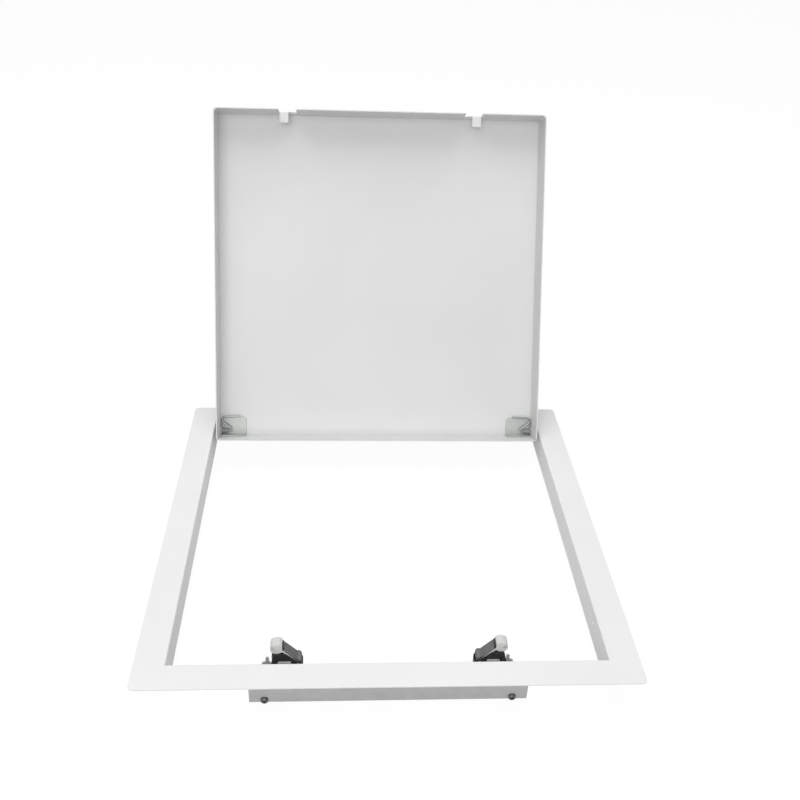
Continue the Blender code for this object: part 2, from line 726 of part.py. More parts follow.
def make_latch(word, side):
    make_latch_bracket(word, side)
    make_latch_housing(word, side)
    make_pivot_pin(word, side)
    make_jaw(word, side)
    under_head = -(OPENING_HALF + FRAME_SHEET + GAP + RAIL_SHEET + GAP)
    start = (side * RAIL_SCREW_X, under_head, SCREW_Z)
    name = "rail_screw_" + word
    screw(name, start, (0, 1, 0), SCREW_HEAD, SCREW_HEAD_HEIGHT, RAIL_SCREW_LENGTH, black_screw)
    for reach, place in zip(HOUSING_SCREWS, ("inner", "outer")):
        start = (side * (PIVOT_X + reach), HOUSING_MIDDLE, FLOOR_TOP + GAP)
        name = "latch_housing_screw_" + place + "_" + word
        length = FLOOR_TOP + RAIL_BOTTOM
        height = HOUSING_SCREW_HEAD_HEIGHT
        screw(name, start, (0, 0, -1), HOUSING_SCREW_HEAD, height, length, bright_screw)


def make_door():
    """A sheet with four returns. Two tabs of the latch side's return are bent in as strikes."""
    inside = DOOR_HALF - DOOR_SHEET
    rings = [(inside, -DOOR_SHEET), (inside, -DOOR_RETURN), (DOOR_HALF, -DOOR_RETURN)]
    for offset, height in arc((-DOOR_BEND, -DOOR_BEND), DOOR_BEND, 0, 90, 4):
        rings.append((DOOR_HALF + offset, height))
    door = solid("door_pan", square_rings(rings, False), white_door, hinge_axis, PIN_POINT)
    cuts = bmesh.new()
    outside = -DOOR_HALF
    tab_low = -STRIKE_DEPTH - DOOR_SHEET / 2
    bend = STRIKE_BEND + DOOR_SHEET
    corner = DOOR_HALF - CORNER_RELIEF
    past = DOOR_HALF + 1
    relief = (-DOOR_RETURN - 1, -DOOR_RETURN + CORNER_RELIEF_DEPTH)
    for side in (-1, 1):
        outer = side * (STRIKE_OUTER + 0.2)
        slot = (outside - 1, outside + DOOR_SHEET + 0.4)
        add_box(cuts, (outer, outer - side * NOTCH_WIDTH), slot, (-DOOR_RETURN - 1, tab_low + bend))
        for end in (-1, 1):
            add_box(cuts, (side * corner, side * past), (end * corner, end * past), relief)
        near = (side * (DOOR_HALF - DOOR_SHEET - 1), PIN_Y, -PIN_DEPTH)
        add_rod(cuts, near, (side * (DOOR_HALF + 1), PIN_Y, -PIN_DEPTH), SLEEVE_NECK / 2 + GAP)
    combine(door, cuts, "DIFFERENCE", PIN_POINT)
    tip = outside + DOOR_SHEET + STRIKE_LENGTH
    tab = [(outside, tab_low + bend + 0.5)]
    tab += arc((outside + bend, tab_low + bend), bend, 180, 270, 5)
    tab += [(tip, tab_low), (tip, tab_low + DOOR_SHEET)]
    tab += arc((outside + bend, tab_low + bend), STRIKE_BEND, 270, 180, 3)
    tab += [(outside + DOOR_SHEET, tab_low + bend + 0.5)]
    tabs = bmesh.new()
    for side in (-1, 1):
        add_prism(tabs, tab, "x", side * STRIKE_OUTER, side * (STRIKE_OUTER - STRIKE_WIDTH))
    combine(door, tabs, "UNION", PIN_POINT)


def make_hinge_bracket(word, side):
    """A corner plate in the pan: a base on the sheet and a wall up each of the two returns."""
    under = -DOOR_SHEET - GAP
    top = under - BRACKET_SHEET
    outer = DOOR_HALF - DOOR_SHEET - GAP
    inner = outer - BRACKET_LENGTH
    low = DOOR_HALF - BRACKET_WIDTH
    bend = BRACKET_SHEET + 0.4
    section = [(low, under)]
    section += arc((outer - bend, under - bend), bend, 90, 0, 4)
    section += [
        (outer, under - BRACKET_WALL),
        (outer - BRACKET_SHEET, under - BRACKET_WALL),
        (outer - BRACKET_SHEET, top - 0.4),
        (outer - BRACKET_SHEET - 0.4, top),
        (low, top),
    ]
    shape = prism(section, "x", side * inner, side * outer)
    item = solid("hinge_bracket_" + word, shape, hinge_plate, hinge_axis, PIN_POINT)
    plan = [(outer + 1, outer + 1), (inner, outer + 1)]
    plan += arc((inner + BRACKET_CORNER, low + BRACKET_CORNER), BRACKET_CORNER, 180, 270, 5)
    plan += [(outer - 3, low), (outer, low + 3), (outer + 1, low + 3)]
    plan = prism(mirrored(plan, side), "z", under + 1, under - BRACKET_WALL - 1)
    combine(item, plan, "INTERSECT", PIN_POINT)
    walls = box(
        (side * (outer - BRACKET_SHEET), side * outer),
        (outer - BRACKET_SIDE_WALL, outer - 0.2),
        (under - 0.1, under - BRACKET_WALL),
    )
    combine(item, walls, "UNION", PIN_POINT)
    hole = bmesh.new()
    near = (side * (outer - BRACKET_SHEET - 1), PIN_Y, -PIN_DEPTH)
    add_rod(hole, near, (side * (outer + 1), PIN_Y, -PIN_DEPTH), SLEEVE_DIAMETER / 2 + GAP)
    combine(item, hole, "DIFFERENCE", PIN_POINT)


def make_hinge_sleeve(word, side):
    """The bush in the pan's side return that the wire pin slides in."""
    bore = PIN_HOLE / 2
    body = SLEEVE_DIAMETER / 2
    neck = SLEEVE_NECK / 2
    length = SLEEVE_LENGTH
    profile = [
        (0.0, bore),
        (0.0, body - 0.4),
        (0.4, body),
        (length, body),
        (length, neck),
        (length + DOOR_SHEET + SLEEVE_COLLAR, neck),
        (length + DOOR_SHEET + SLEEVE_COLLAR, bore),
    ]
    start = (side * (DOOR_HALF - DOOR_SHEET - GAP - length), PIN_Y, -PIN_DEPTH)
    shape = turned(profile, start, (side, 0.0, 0.0), 28)
    solid("hinge_sleeve_" + word, shape, sleeve_nylon, hinge_axis, PIN_POINT, rounded=True)


def make_hinge_wire(word, side):
    """The bent wire: its straight end is the hinge pin, the rest is the grip that draws it in."""
    tip = OPENING_HALF + FRAME_SHEET + PIN_PAST_UPSTAND
    straight = tip - DOOR_HALF + DOOR_SHEET + GAP + SLEEVE_LENGTH + 2.9
    moves = [
        (straight, WIRE_FIRST_BEND, WIRE_FIRST_TURN),
        (WIRE_SLANT, WIRE_LOOP, -WIRE_LOOP_TURN),
        (WIRE_GRIP, 0, 0),
    ]
    path = bent_path((0.0, 0.0), moves)
    points = [(side * (tip - inward), PIN_Y - down, -PIN_DEPTH) for inward, down in path]
    wire("hinge_wire_" + word, points, PIN_DIAMETER / 2, bright_wire, hinge_axis, PIN_POINT)


make_frame()
make_rail()
hinge_axis = empty_at("door_hinge_axis", PIN_POINT, root)
hinge_axis.rotation_euler = (-DOOR_ANGLE, 0.0, 0.0)
make_door()
for word, side in (("left", -1), ("right", 1)):
    make_latch(word, side)
    make_hinge_bracket(word, side)
    make_hinge_sleeve(word, side)
    make_hinge_wire(word, side)


def stand_on_origin():
    """Moves the assembly so that the origin is under the middle of its bounding box."""
    bpy.context.view_layer.update()
    graph = bpy.context.evaluated_depsgraph_get()
    low = Vector((1e9, 1e9, 1e9))
    high = -low
    for item in panel_parts.objects:
        if item.type == "EMPTY":
            continue
        shown = item.evaluated_get(graph)
        mesh = shown.to_mesh()
        for vertex in mesh.vertices:
            point = shown.matrix_world @ vertex.co
            low = Vector(min(a, b) for a, b in zip(low, point))
            high = Vector(max(a, b) for a, b in zip(high, point))
        shown.to_mesh_clear()
    root.location -= Vector(((low.x + high.x) / 2, (low.y + high.y) / 2, low.z))
    print("root moved to", [round(v / MM, 3) for v in root.location])


stand_on_origin()
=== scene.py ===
import json
import math

import bmesh
import bpy
from mathutils import Matrix, Vector


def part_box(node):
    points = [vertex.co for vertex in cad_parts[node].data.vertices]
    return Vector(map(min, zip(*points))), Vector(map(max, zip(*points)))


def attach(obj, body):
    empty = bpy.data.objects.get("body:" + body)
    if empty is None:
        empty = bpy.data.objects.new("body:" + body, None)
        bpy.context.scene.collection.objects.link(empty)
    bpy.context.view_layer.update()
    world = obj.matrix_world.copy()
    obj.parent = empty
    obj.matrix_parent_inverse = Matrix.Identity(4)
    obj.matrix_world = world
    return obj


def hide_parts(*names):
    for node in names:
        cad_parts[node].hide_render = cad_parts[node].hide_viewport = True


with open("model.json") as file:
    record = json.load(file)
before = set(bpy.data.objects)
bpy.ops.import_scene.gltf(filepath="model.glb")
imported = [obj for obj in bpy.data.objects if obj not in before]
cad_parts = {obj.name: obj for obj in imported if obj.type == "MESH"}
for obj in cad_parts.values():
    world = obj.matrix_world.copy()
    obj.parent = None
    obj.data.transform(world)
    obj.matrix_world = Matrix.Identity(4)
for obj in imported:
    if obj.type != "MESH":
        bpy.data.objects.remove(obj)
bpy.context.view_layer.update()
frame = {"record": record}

# Shapes are drawn in millimetres round the middle of the opening, with the flange's face at height 0 and
# the door and its hinges as they lie when shut. What stands on both sides is drawn on the right and
# mirrored. Each finished shape is then put in its place in metres.
millimetre = 0.001
frameLow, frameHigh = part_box("frame")
panelMiddle = Vector(((frameLow[0] + frameHigh[0]) / 2, (frameLow[1] + frameHigh[1]) / 2, frameHigh[2]))
panelPlace = Matrix.Translation(panelMiddle) @ Matrix.Scale(millimetre, 4)
joints = {joint["name"]: joint for joint in frame["record"]["behaviour"]["joints"]}
hingePoint = (Vector(joints["door_hinge"]["pos_m"]) - panelMiddle) / millimetre
pivotPoint = (Vector(joints["jaw_right_swing"]["pos_m"]) - panelMiddle) / millimetre
openTurn = math.radians(joints["door_hinge"]["range_deg"][1])
jawSwing = math.radians(joints["jaw_right_swing"]["range_deg"][1])
slotOf = {entry["node"]: entry["material_slot"] for entry in frame["record"]["subparts"]}
bodyOf = {}
for body, members in frame["record"]["behaviour"]["bodies"].items():
    for member in members:
        bodyOf[member] = body


def turnAbout(point, angle, axis):
    return Matrix.Translation(point) @ Matrix.Rotation(angle, 4, axis) @ Matrix.Translation(-point)


doorPlace = panelPlace @ turnAbout(hingePoint, -openTurn, "X")
hingeSpot = (hingePoint.y, hingePoint.z)  # each is the place across its own axis
pivotSpot = (pivotPoint.x, pivotPoint.z)


# Finishes

def linearColour(text):
    channels = []
    for start in (0, 2, 4):
        value = int(text[start : start + 2], 16) / 255
        channels.append(value / 12.92 if value <= 0.04045 else ((value + 0.055) / 1.055) ** 2.4)
    return (*channels, 1.0)


def addNode(tree, kind, settings=None, links=None):
    made = tree.nodes.new(kind)
    for key, value in (settings or {}).items():
        if isinstance(key, str) and hasattr(made, key):
            setattr(made, key, value)
        else:
            made.inputs[key].default_value = value
    for key, source in (links or {}).items():
        tree.links.new(source, made.inputs[key])
    return made


def startMaterial(name, roughness, metallic=0.0, **sockets):
    material = bpy.data.materials.new(name)
    material.use_nodes = True
    tree = material.node_tree
    shader = tree.nodes["Principled BSDF"]
    shader.inputs["Roughness"].default_value = roughness
    shader.inputs["Metallic"].default_value = metallic
    for key, value in sockets.items():
        shader.inputs[key].default_value = value
    place = addNode(tree, "ShaderNodeTexCoord").outputs["Object"]
    return material, tree, shader, place


def colourBetween(tree, shader, factor, first, second, low=0.3, high=0.7):
    ramp = addNode(tree, "ShaderNodeValToRGB", links={"Fac": factor})
    ramp.color_ramp.elements[0].position = low
    ramp.color_ramp.elements[0].color = linearColour(first)
    ramp.color_ramp.elements[1].position = high
    ramp.color_ramp.elements[1].color = linearColour(second)
    tree.links.new(ramp.outputs["Color"], shader.inputs["Base Color"])


def spread(tree, factor, low, high):
    return addNode(tree, "ShaderNodeMapRange", {"To Min": low, "To Max": high}, {"Value": factor}).outputs[0]


def noise(tree, place, size, detail):
    settings = {"Scale": 1 / (size * millimetre), "Detail": detail}
    return addNode(tree, "ShaderNodeTexNoise", settings, {"Vector": place}).outputs["Fac"]


def streaks(tree, place, length, width, detail):
    scale = (1 / (length * millimetre), 1 / (width * millimetre), 1 / (width * millimetre))
    drawn = addNode(tree, "ShaderNodeMapping", {"Scale": scale}, {"Vector": place}).outputs["Vector"]
    settings = {"Scale": 1.0, "Detail": detail}
    return addNode(tree, "ShaderNodeTexNoise", settings, {"Vector": drawn}).outputs["Fac"]


def sheenBetween(tree, shader, factor, low, high):
    tree.links.new(spread(tree, factor, low, high), shader.inputs["Roughness"])


def relief(tree, shader, layers):
    normal = None
    for height, depth in layers:
        settings = {"Strength": 1.0, "Distance": depth * millimetre}
        links = {"Height": height}
        if normal is not None:
            links["Normal"] = normal
        normal = addNode(tree, "ShaderNodeBump", settings, links).outputs[0]
    tree.links.new(normal, shader.inputs["Normal"])


# Polyester powder coat on steel sheet, sprayed and stoved: an even satin white with a soft orange peel
# about 2.5 mm across and a fine grain in it. The grain is drawn at 0.5 mm so that it can show.
powderCoat = {
    "peel": 2.5,
    "peelHeight": 0.02,
    "grain": 0.5,
    "grainHeight": 0.006,
    "cloud": 90.0,
    "sheenSpread": 0.05,
}


def powderCoatMaterial(name, pale, dull, roughness):
    look = powderCoat
    material, tree, shader, place = startMaterial(name, roughness, IOR=1.5)
    colourBetween(tree, shader, noise(tree, place, look["cloud"], 3.0), dull, pale)
    peel = noise(tree, place, look["peel"], 1.0)
    grain = noise(tree, place, look["grain"], 2.0)
    sheenBetween(tree, shader, grain, roughness - look["sheenSpread"], roughness + look["sheenSpread"])
    relief(tree, shader, [(peel, look["peelHeight"]), (grain, look["grainHeight"])])
    return material


# Hot-dip galvanised sheet, rolled: dull grey zinc in flat crystals about 5 mm across, each a slightly
# different grey, with faint rolling streaks. Its pits are drawn at 0.6 mm so that they can show.
galvanised = {
    "crystal": 5.0,
    "crystalShare": 0.45,
    "streak": 1.2,
    "streakLength": 60.0,
    "streakShare": 0.55,
    "pit": 0.6,
    "pitHeight": 0.006,
    "sheenSpread": 0.06,
}


def galvanisedMaterial(name, pale, dull, roughness, metallic):
    look = galvanised
    material, tree, shader, place = startMaterial(name, roughness, metallic)
    scale = 1 / (look["crystal"] * millimetre)
    crystals = addNode(tree, "ShaderNodeTexVoronoi", {"Scale": scale}, {"Vector": place})
    shade = addNode(tree, "ShaderNodeSeparateColor", links={"Color": crystals.outputs["Color"]})
    rolled = streaks(tree, place, look["streakLength"], look["streak"], 3.0)
    links = {0: shade.outputs["Red"], 2: spread(tree, rolled, 0.0, look["streakShare"])}
    settings = {"operation": "MULTIPLY_ADD", 1: look["crystalShare"]}
    mixed = addNode(tree, "ShaderNodeMath", settings, links).outputs[0]
    colourBetween(tree, shader, mixed, dull, pale, 0.1, 0.9)
    low, high = roughness - look["sheenSpread"], roughness + look["sheenSpread"]
    sheenBetween(tree, shader, shade.outputs["Green"], low, high)
    relief(tree, shader, [(noise(tree, place, look["pit"], 2.0), look["pitHeight"])])
    return material


# Zinc-plated, blacked or bright steel, drawn or machined: fine lines along the piece, which change its
# grey and its sheen a little. They are drawn 0.2 to 0.5 mm wide so that they can show.
plated = {"lineStretch": 12, "lineHeight": 0.004, "smoother": 0.08, "rougher": 0.1}


def platedMaterial(name, pale, dull, roughness, lineSize, metallic=1.0):
    look = plated
    material, tree, shader, place = startMaterial(name, roughness, metallic)
    lines = streaks(tree, place, lineSize * look["lineStretch"], lineSize, 4.0)
    colourBetween(tree, shader, lines, dull, pale)
    sheenBetween(tree, shader, lines, roughness - look["smoother"], roughness + look["rougher"])
    relief(tree, shader, [(lines, look["lineHeight"])])
    return material


# Injection-moulded plastic or rubber: one colour through, with the fine spark-eroded grain of the mould,
# drawn at 0.35 to 0.5 mm so that it can show, and a slow change of sheen across it.
moulded = {"flowStretch": 14, "sheenSpread": 0.06}


def mouldedMaterial(name, pale, dull, roughness, grainSize, grainHeight, ior=1.5):
    look = moulded
    material, tree, shader, place = startMaterial(name, roughness, IOR=ior)
    grain = noise(tree, place, grainSize, 3.0)
    colourBetween(tree, shader, grain, dull, pale)
    flow = noise(tree, place, grainSize * look["flowStretch"], 1.0)
    sheenBetween(tree, shader, flow, roughness - look["sheenSpread"], roughness + look["sheenSpread"])
    relief(tree, shader, [(grain, grainHeight)])
    return material


finishes = {
    "powder_coat_frame": powderCoatMaterial("satinWhitePowderCoatFrame", "EFEFEF", "EBEBEB", 0.42),
    # The door is the frame's white powder coat, drawn darker: the difference between the two is painted shade
    "powder_coat_door": powderCoatMaterial("satinWhitePowderCoatDoorPaintedShade", "DBDCDB", "D7D8D7", 0.48),
    "galvanised_rail": galvanisedMaterial("galvanisedSteelRail", "C1C1C1", "B7B7B7", 0.55, 0.2),
    "galvanised_bracket": galvanisedMaterial("galvanisedSteelBracket", "E2E3E3", "D6D7D7", 0.45, 0.15),
    "hinge_plate": platedMaterial("zincPlatedHingePlate", "B6B8B6", "A8AAA8", 0.45, 0.5, 0.3),
    "spring_wire": platedMaterial("zincPlatedSpringWire", "A4A5A5", "8A8B8B", 0.36, 0.25, 0.8),
    "sleeve_nylon": mouldedMaterial("greyNylonSleeve", "868787", "7A7B7B", 0.5, 0.5, 0.01),
    "black_screw": platedMaterial("blackOxideScrew", "6C6C6C", "484848", 0.3, 0.3, 0.8),
    "bright_screw": platedMaterial("zincPlatedScrew", "B4B6B2", "9C9E9A", 0.34, 0.3, 0.9),
    "housing_nylon": mouldedMaterial("blackNylonHousing", "2E2E2E", "222222", 0.42, 0.4, 0.012),
    "jaw_acetal": mouldedMaterial("lightGreyAcetalJaw", "DADAD8", "CECECC", 0.4, 0.4, 0.008, 1.48),
    "pad_rubber": mouldedMaterial("darkGreyRubberPad", "7A7A7A", "686868", 0.7, 0.35, 0.02),
    "pivot_pin": platedMaterial("brightSteelPivotPin", "C0C2C4", "A8AAAC", 0.25, 0.2),
    "spring_steel": platedMaterial("springSteelCoil", "9A9C9E", "7C7E80", 0.3, 0.2),
}
print("finishes ready:", len(finishes))


# Tools of the workshop

def pieceFrom(name, shape):
    mesh = bpy.data.meshes.new(name)
    shape.to_mesh(mesh)
    shape.free()
    piece = bpy.data.objects.new(name, mesh)
    bpy.context.scene.collection.objects.link(piece)
    return piece


def shapeOf(piece):
    shape = bmesh.new()
    shape.from_mesh(piece.data)
    return shape


def reshape(piece, shape):
    shape.to_mesh(piece.data)
    shape.free()


def bake(piece):
    graph = bpy.context.evaluated_depsgraph_get()
    finished = bpy.data.meshes.new_from_object(piece.evaluated_get(graph), depsgraph=graph)
    piece.modifiers.clear()
    piece.data = finished


def modify(piece, kind, **settings):
    change = piece.modifiers.new(kind.lower(), kind)
    for key, value in settings.items():
        setattr(change, key, value)
    bake(piece)


def carve(piece, tool, operation="DIFFERENCE"):
    if not isinstance(tool, bpy.types.Object):
        bmesh.ops.recalc_face_normals(tool, faces=tool.faces[:])
        tool = pieceFrom("tool", tool)
    modify(piece, "BOOLEAN", operation=operation, solver="EXACT", object=tool)
    bpy.data.objects.remove(tool)


def at(axis, along, first, second):
    return {"x": (along, first, second), "y": (first, along, second), "z": (first, second, along)}[axis]


def facing(direction):  # turns a shape that points up to a direction
    return Vector(direction).to_track_quat("Z", "Y").to_matrix().to_4x4()


def newVerts(grown):
    return [item for item in grown["geom"] if isinstance(item, bmesh.types.BMVert)]


def drawOut(shape, cap):  # the cap goes on to the new end, and its old place is left open
    grown = bmesh.ops.extrude_face_region(shape, geom=cap + [edge for face in cap for edge in face.edges])
    return [item for item in grown["geom"] if isinstance(item, bmesh.types.BMFace)], newVerts(grown)


def roundOff(shape, corner, radius, steps=5):
    bmesh.ops.bevel(
        shape,
        geom=[corner],
        offset=radius,
        offset_type="OFFSET",
        affect="VERTICES",
        segments=steps,
        profile=0.5,
        material=-1,
    )


def cutOut(corners, axis, start, end):  # corners: across, up, and the radius of the corner
    shape = bmesh.new()
    outline = [(shape.verts.new(at(axis, start, corner[0], corner[1])), corner[2:]) for corner in corners]
    shape.faces.new([corner for corner, radius in outline])
    for corner, radius in outline:
        if radius:
            roundOff(shape, corner, radius[0])
    grown = bmesh.ops.extrude_face_region(shape, geom=shape.faces[:])
    bmesh.ops.translate(shape, vec=at(axis, end - start, 0.0, 0.0), verts=newVerts(grown))
    bmesh.ops.recalc_face_normals(shape, faces=shape.faces[:])
    return shape


def block(xSpan, ySpan, zSpan):
    shape = bmesh.new()
    spans = (xSpan, ySpan, zSpan)
    bmesh.ops.create_cube(shape, size=1.0)
    bmesh.ops.scale(shape, vec=[abs(high - low) for low, high in spans], verts=shape.verts)
    bmesh.ops.translate(shape, vec=[(low + high) / 2 for low, high in spans], verts=shape.verts)
    return shape


def rod(axis, start, end, spot, radius, segments=32):  # spot: its place across the axis
    start, end = Vector(at(axis, start, *spot)), Vector(at(axis, end, *spot))
    along = end - start
    shape = bmesh.new()
    bmesh.ops.create_cone(
        shape,
        cap_ends=True,
        segments=segments,
        radius1=radius,
        radius2=radius,
        depth=along.length,
        matrix=Matrix.Translation((start + end) / 2) @ facing(along),
    )
    return shape


def turned(profile, start, direction, steps=32, bored=False):  # profile: distance along, radius
    shape = bmesh.new()
    row = [shape.verts.new((radius, 0.0, along)) for along, radius in profile]
    pairs = list(zip(row, row[1:])) + ([(row[-1], row[0])] if bored else [])
    edges = [shape.edges.new(pair) for pair in pairs]
    whole = {"cent": (0, 0, 0), "axis": (0, 0, 1), "dvec": (0, 0, 0), "angle": 2 * math.pi}
    bmesh.ops.spin(shape, geom=row + edges, steps=steps, use_merge=True, **whole)
    bmesh.ops.remove_doubles(shape, verts=shape.verts[:], dist=0.0005)
    bmesh.ops.recalc_face_normals(shape, faces=shape.faces[:])
    bmesh.ops.transform(shape, matrix=Matrix.Translation(start) @ facing(direction), verts=shape.verts)
    return shape


# A sheet bent along a path of corners: the path is its outer face, and its thickness lies behind that.
def foldedSheet(name, path, axis, start, end, outward, sheet, fold, trims=()):
    shape = bmesh.new()
    row = [shape.verts.new(at(axis, start, first, second)) for first, second in path]
    edges = [shape.edges.new(pair) for pair in zip(row, row[1:])]
    grown = bmesh.ops.extrude_edge_only(shape, edges=edges)
    bmesh.ops.translate(shape, vec=at(axis, end - start, 0.0, 0.0), verts=newVerts(grown))
    bmesh.ops.recalc_face_normals(shape, faces=shape.faces[:])
    shape.faces.ensure_lookup_table()
    beginning = (row[0].co + row[1].co) / 2
    first = min(shape.faces, key=lambda face: (face.calc_center_median() - beginning).length)
    if first.normal.dot(Vector(outward)) < 0:
        bmesh.ops.reverse_faces(shape, faces=shape.faces[:])
    for place, radius, steps in trims:
        corner = min(shape.verts, key=lambda vert: (vert.co - Vector(place)).length)
        roundOff(shape, corner, radius, steps)
    bendFolds(shape, fold, lambda edge: len(edge.link_faces) == 2)
    piece = pieceFrom(name, shape)
    modify(piece, "SOLIDIFY", thickness=sheet, offset=-1.0, use_even_offset=True)
    return piece


def bendFolds(shape, fold, isFold, steps=6):
    bmesh.ops.bevel(
        shape,
        geom=[edge for edge in shape.edges if isFold(edge)],
        offset=fold,
        offset_type="OFFSET",
        affect="EDGES",
        segments=steps,
        profile=0.5,
        material=-1,
    )


edgeRules = {
    "sliver": 0.001,
    "flat": 0.4,  # this and the next two are angles in degrees
    "bevelOver": 42.0,
    "sharpOver": 38.0,
    "weight": 60,
}


def dropSlivers(piece, size):  # a bevel that runs out of room leaves faces without area
    shape = shapeOf(piece)
    bmesh.ops.dissolve_degenerate(shape, dist=size, edges=shape.edges[:])
    reshape(piece, shape)


def joinFlats(piece):  # flat faces that the cuts left in pieces would leave a bevel no room
    shape = shapeOf(piece)
    flat = math.radians(edgeRules["flat"])
    bmesh.ops.dissolve_limit(shape, angle_limit=flat, verts=shape.verts[:], edges=shape.edges[:])
    reshape(piece, shape)


def finishPiece(piece, node, place=panelPlace, side=1, edge=0.0, edgeSteps=3, body=None):
    if side < 0:
        shape = shapeOf(piece)
        bmesh.ops.scale(shape, vec=(-1, 1, 1), verts=shape.verts)
        bmesh.ops.recalc_face_normals(shape, faces=shape.faces[:])
        reshape(piece, shape)
    if edge > 0:
        modify(
            piece,
            "BEVEL",
            width=edge,
            segments=edgeSteps,
            profile=0.5,
            limit_method="ANGLE",
            angle_limit=math.radians(edgeRules["bevelOver"]),
            material=-1,
            use_clamp_overlap=True,
        )
        dropSlivers(piece, edgeRules["sliver"])
    piece.data.shade_smooth()
    piece.data.set_sharp_from_angle(angle=math.radians(edgeRules["sharpOver"]))
    modify(piece, "WEIGHTED_NORMAL", keep_sharp=True, weight=edgeRules["weight"])
    piece.data.transform(place)
    piece.data.materials.clear()
    piece.data.materials.append(finishes[slotOf[node]])
    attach(piece, body or bodyOf[node])
    if body is None:
        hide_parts(node)


def liesLevel(edge):
    return all(abs(vert.co.z) < 0.01 for vert in edge.verts)


sides = (("Left", "_left", -1), ("Right", "_right", 1))
openingHalf = 175.0
doorHalf = 170.5
gap = 0.3  # left between two pieces that touch


# Frame: the flange and the upstand are one sheet folded round the opening, its corners welded and ground
frameSheet = {
    "outer": 400.0,
    "upstand": 26.0,
    "sheet": 1.0,
    "fold": 1.2,
    "corner": 4.5,
    "fixingHole": 4.5,
    "fixingSpacing": 244.0,
    "fixingDepth": 12.0,
    "pinHole": 2.6,
    "edge": 0.22,
}


def buildFrame():
    look = frameSheet
    outer = look["outer"] / 2

    def isInner(edge):
        return all(abs(vert.co.x) < outer - 1 and abs(vert.co.y) < outer - 1 for vert in edge.verts)

    shape = bmesh.new()
    bmesh.ops.create_grid(shape, x_segments=1, y_segments=1, size=outer)
    ring = bmesh.ops.inset_region(
        shape,
        faces=shape.faces[:],
        thickness=outer - openingHalf,
        use_boundary=True,
        use_even_offset=True,
    )["faces"]
    opening = [face for face in shape.faces if face not in ring]
    bmesh.ops.delete(shape, geom=opening, context="FACES_ONLY")
    grown = bmesh.ops.extrude_edge_only(shape, edges=[edge for edge in shape.edges if isInner(edge)])
    bmesh.ops.translate(shape, vec=(0, 0, -look["upstand"]), verts=newVerts(grown))
    bmesh.ops.recalc_face_normals(shape, faces=shape.faces[:])
    if sum(face.normal.z for face in shape.faces) < 0:
        bmesh.ops.reverse_faces(shape, faces=shape.faces[:])
    bendFolds(shape, look["fold"], lambda edge: isInner(edge) and liesLevel(edge))
    piece = pieceFrom("framePressing", shape)
    modify(piece, "SOLIDIFY", thickness=look["sheet"], offset=-1.0, use_even_offset=True)
    corners = []
    for across, along in ((1, 1), (-1, 1), (-1, -1), (1, -1)):
        corners.append((across * outer, along * outer, look["corner"]))
    carve(piece, cutOut(corners, "z", -look["upstand"] - 5, 5), "INTERSECT")
    for side in (-1, 1):
        near, far = side * (openingHalf - 2), side * (openingHalf + 3)
        for end in (-1, 1):
            spot = (end * look["fixingSpacing"] / 2, -look["fixingDepth"])
            carve(piece, rod("x", near, far, spot, look["fixingHole"] / 2))
        carve(piece, rod("x", near, far, hingeSpot, look["pinHole"] / 2))
    finishPiece(piece, "frame", edge=look["edge"])


# Door: a pan folded from one sheet. Its corners are butted with a fine slit, and two tabs of the free
# edge's return are bent in as strikes.
doorSheet = {
    "sheet": 1.0,
    "return": 36.0,
    "fold": 1.2,
    "slit": 0.35,
    "slitTop": 2.4,
    "slitReach": 3.0,
    "relief": 3.0,
    "reliefDepth": 4.0,
    "notch": 18.0,
    "notchClear": 0.2,
    "notchPast": 0.4,
    "strikeOuter": 104.8,
    "strikeWidth": 9.2,
    "strikeDepth": 18.0,
    "strikeLength": 10.0,
    "strikeBend": 1.6,
    "strikeRoot": 0.5,
    "strikeCorner": 1.2,
    "strikeInset": 0.03,  # behind the return's own face, so that the two don't fall in one plane
    "sleeveHole": 4.6,
    "edge": 0.2,
}


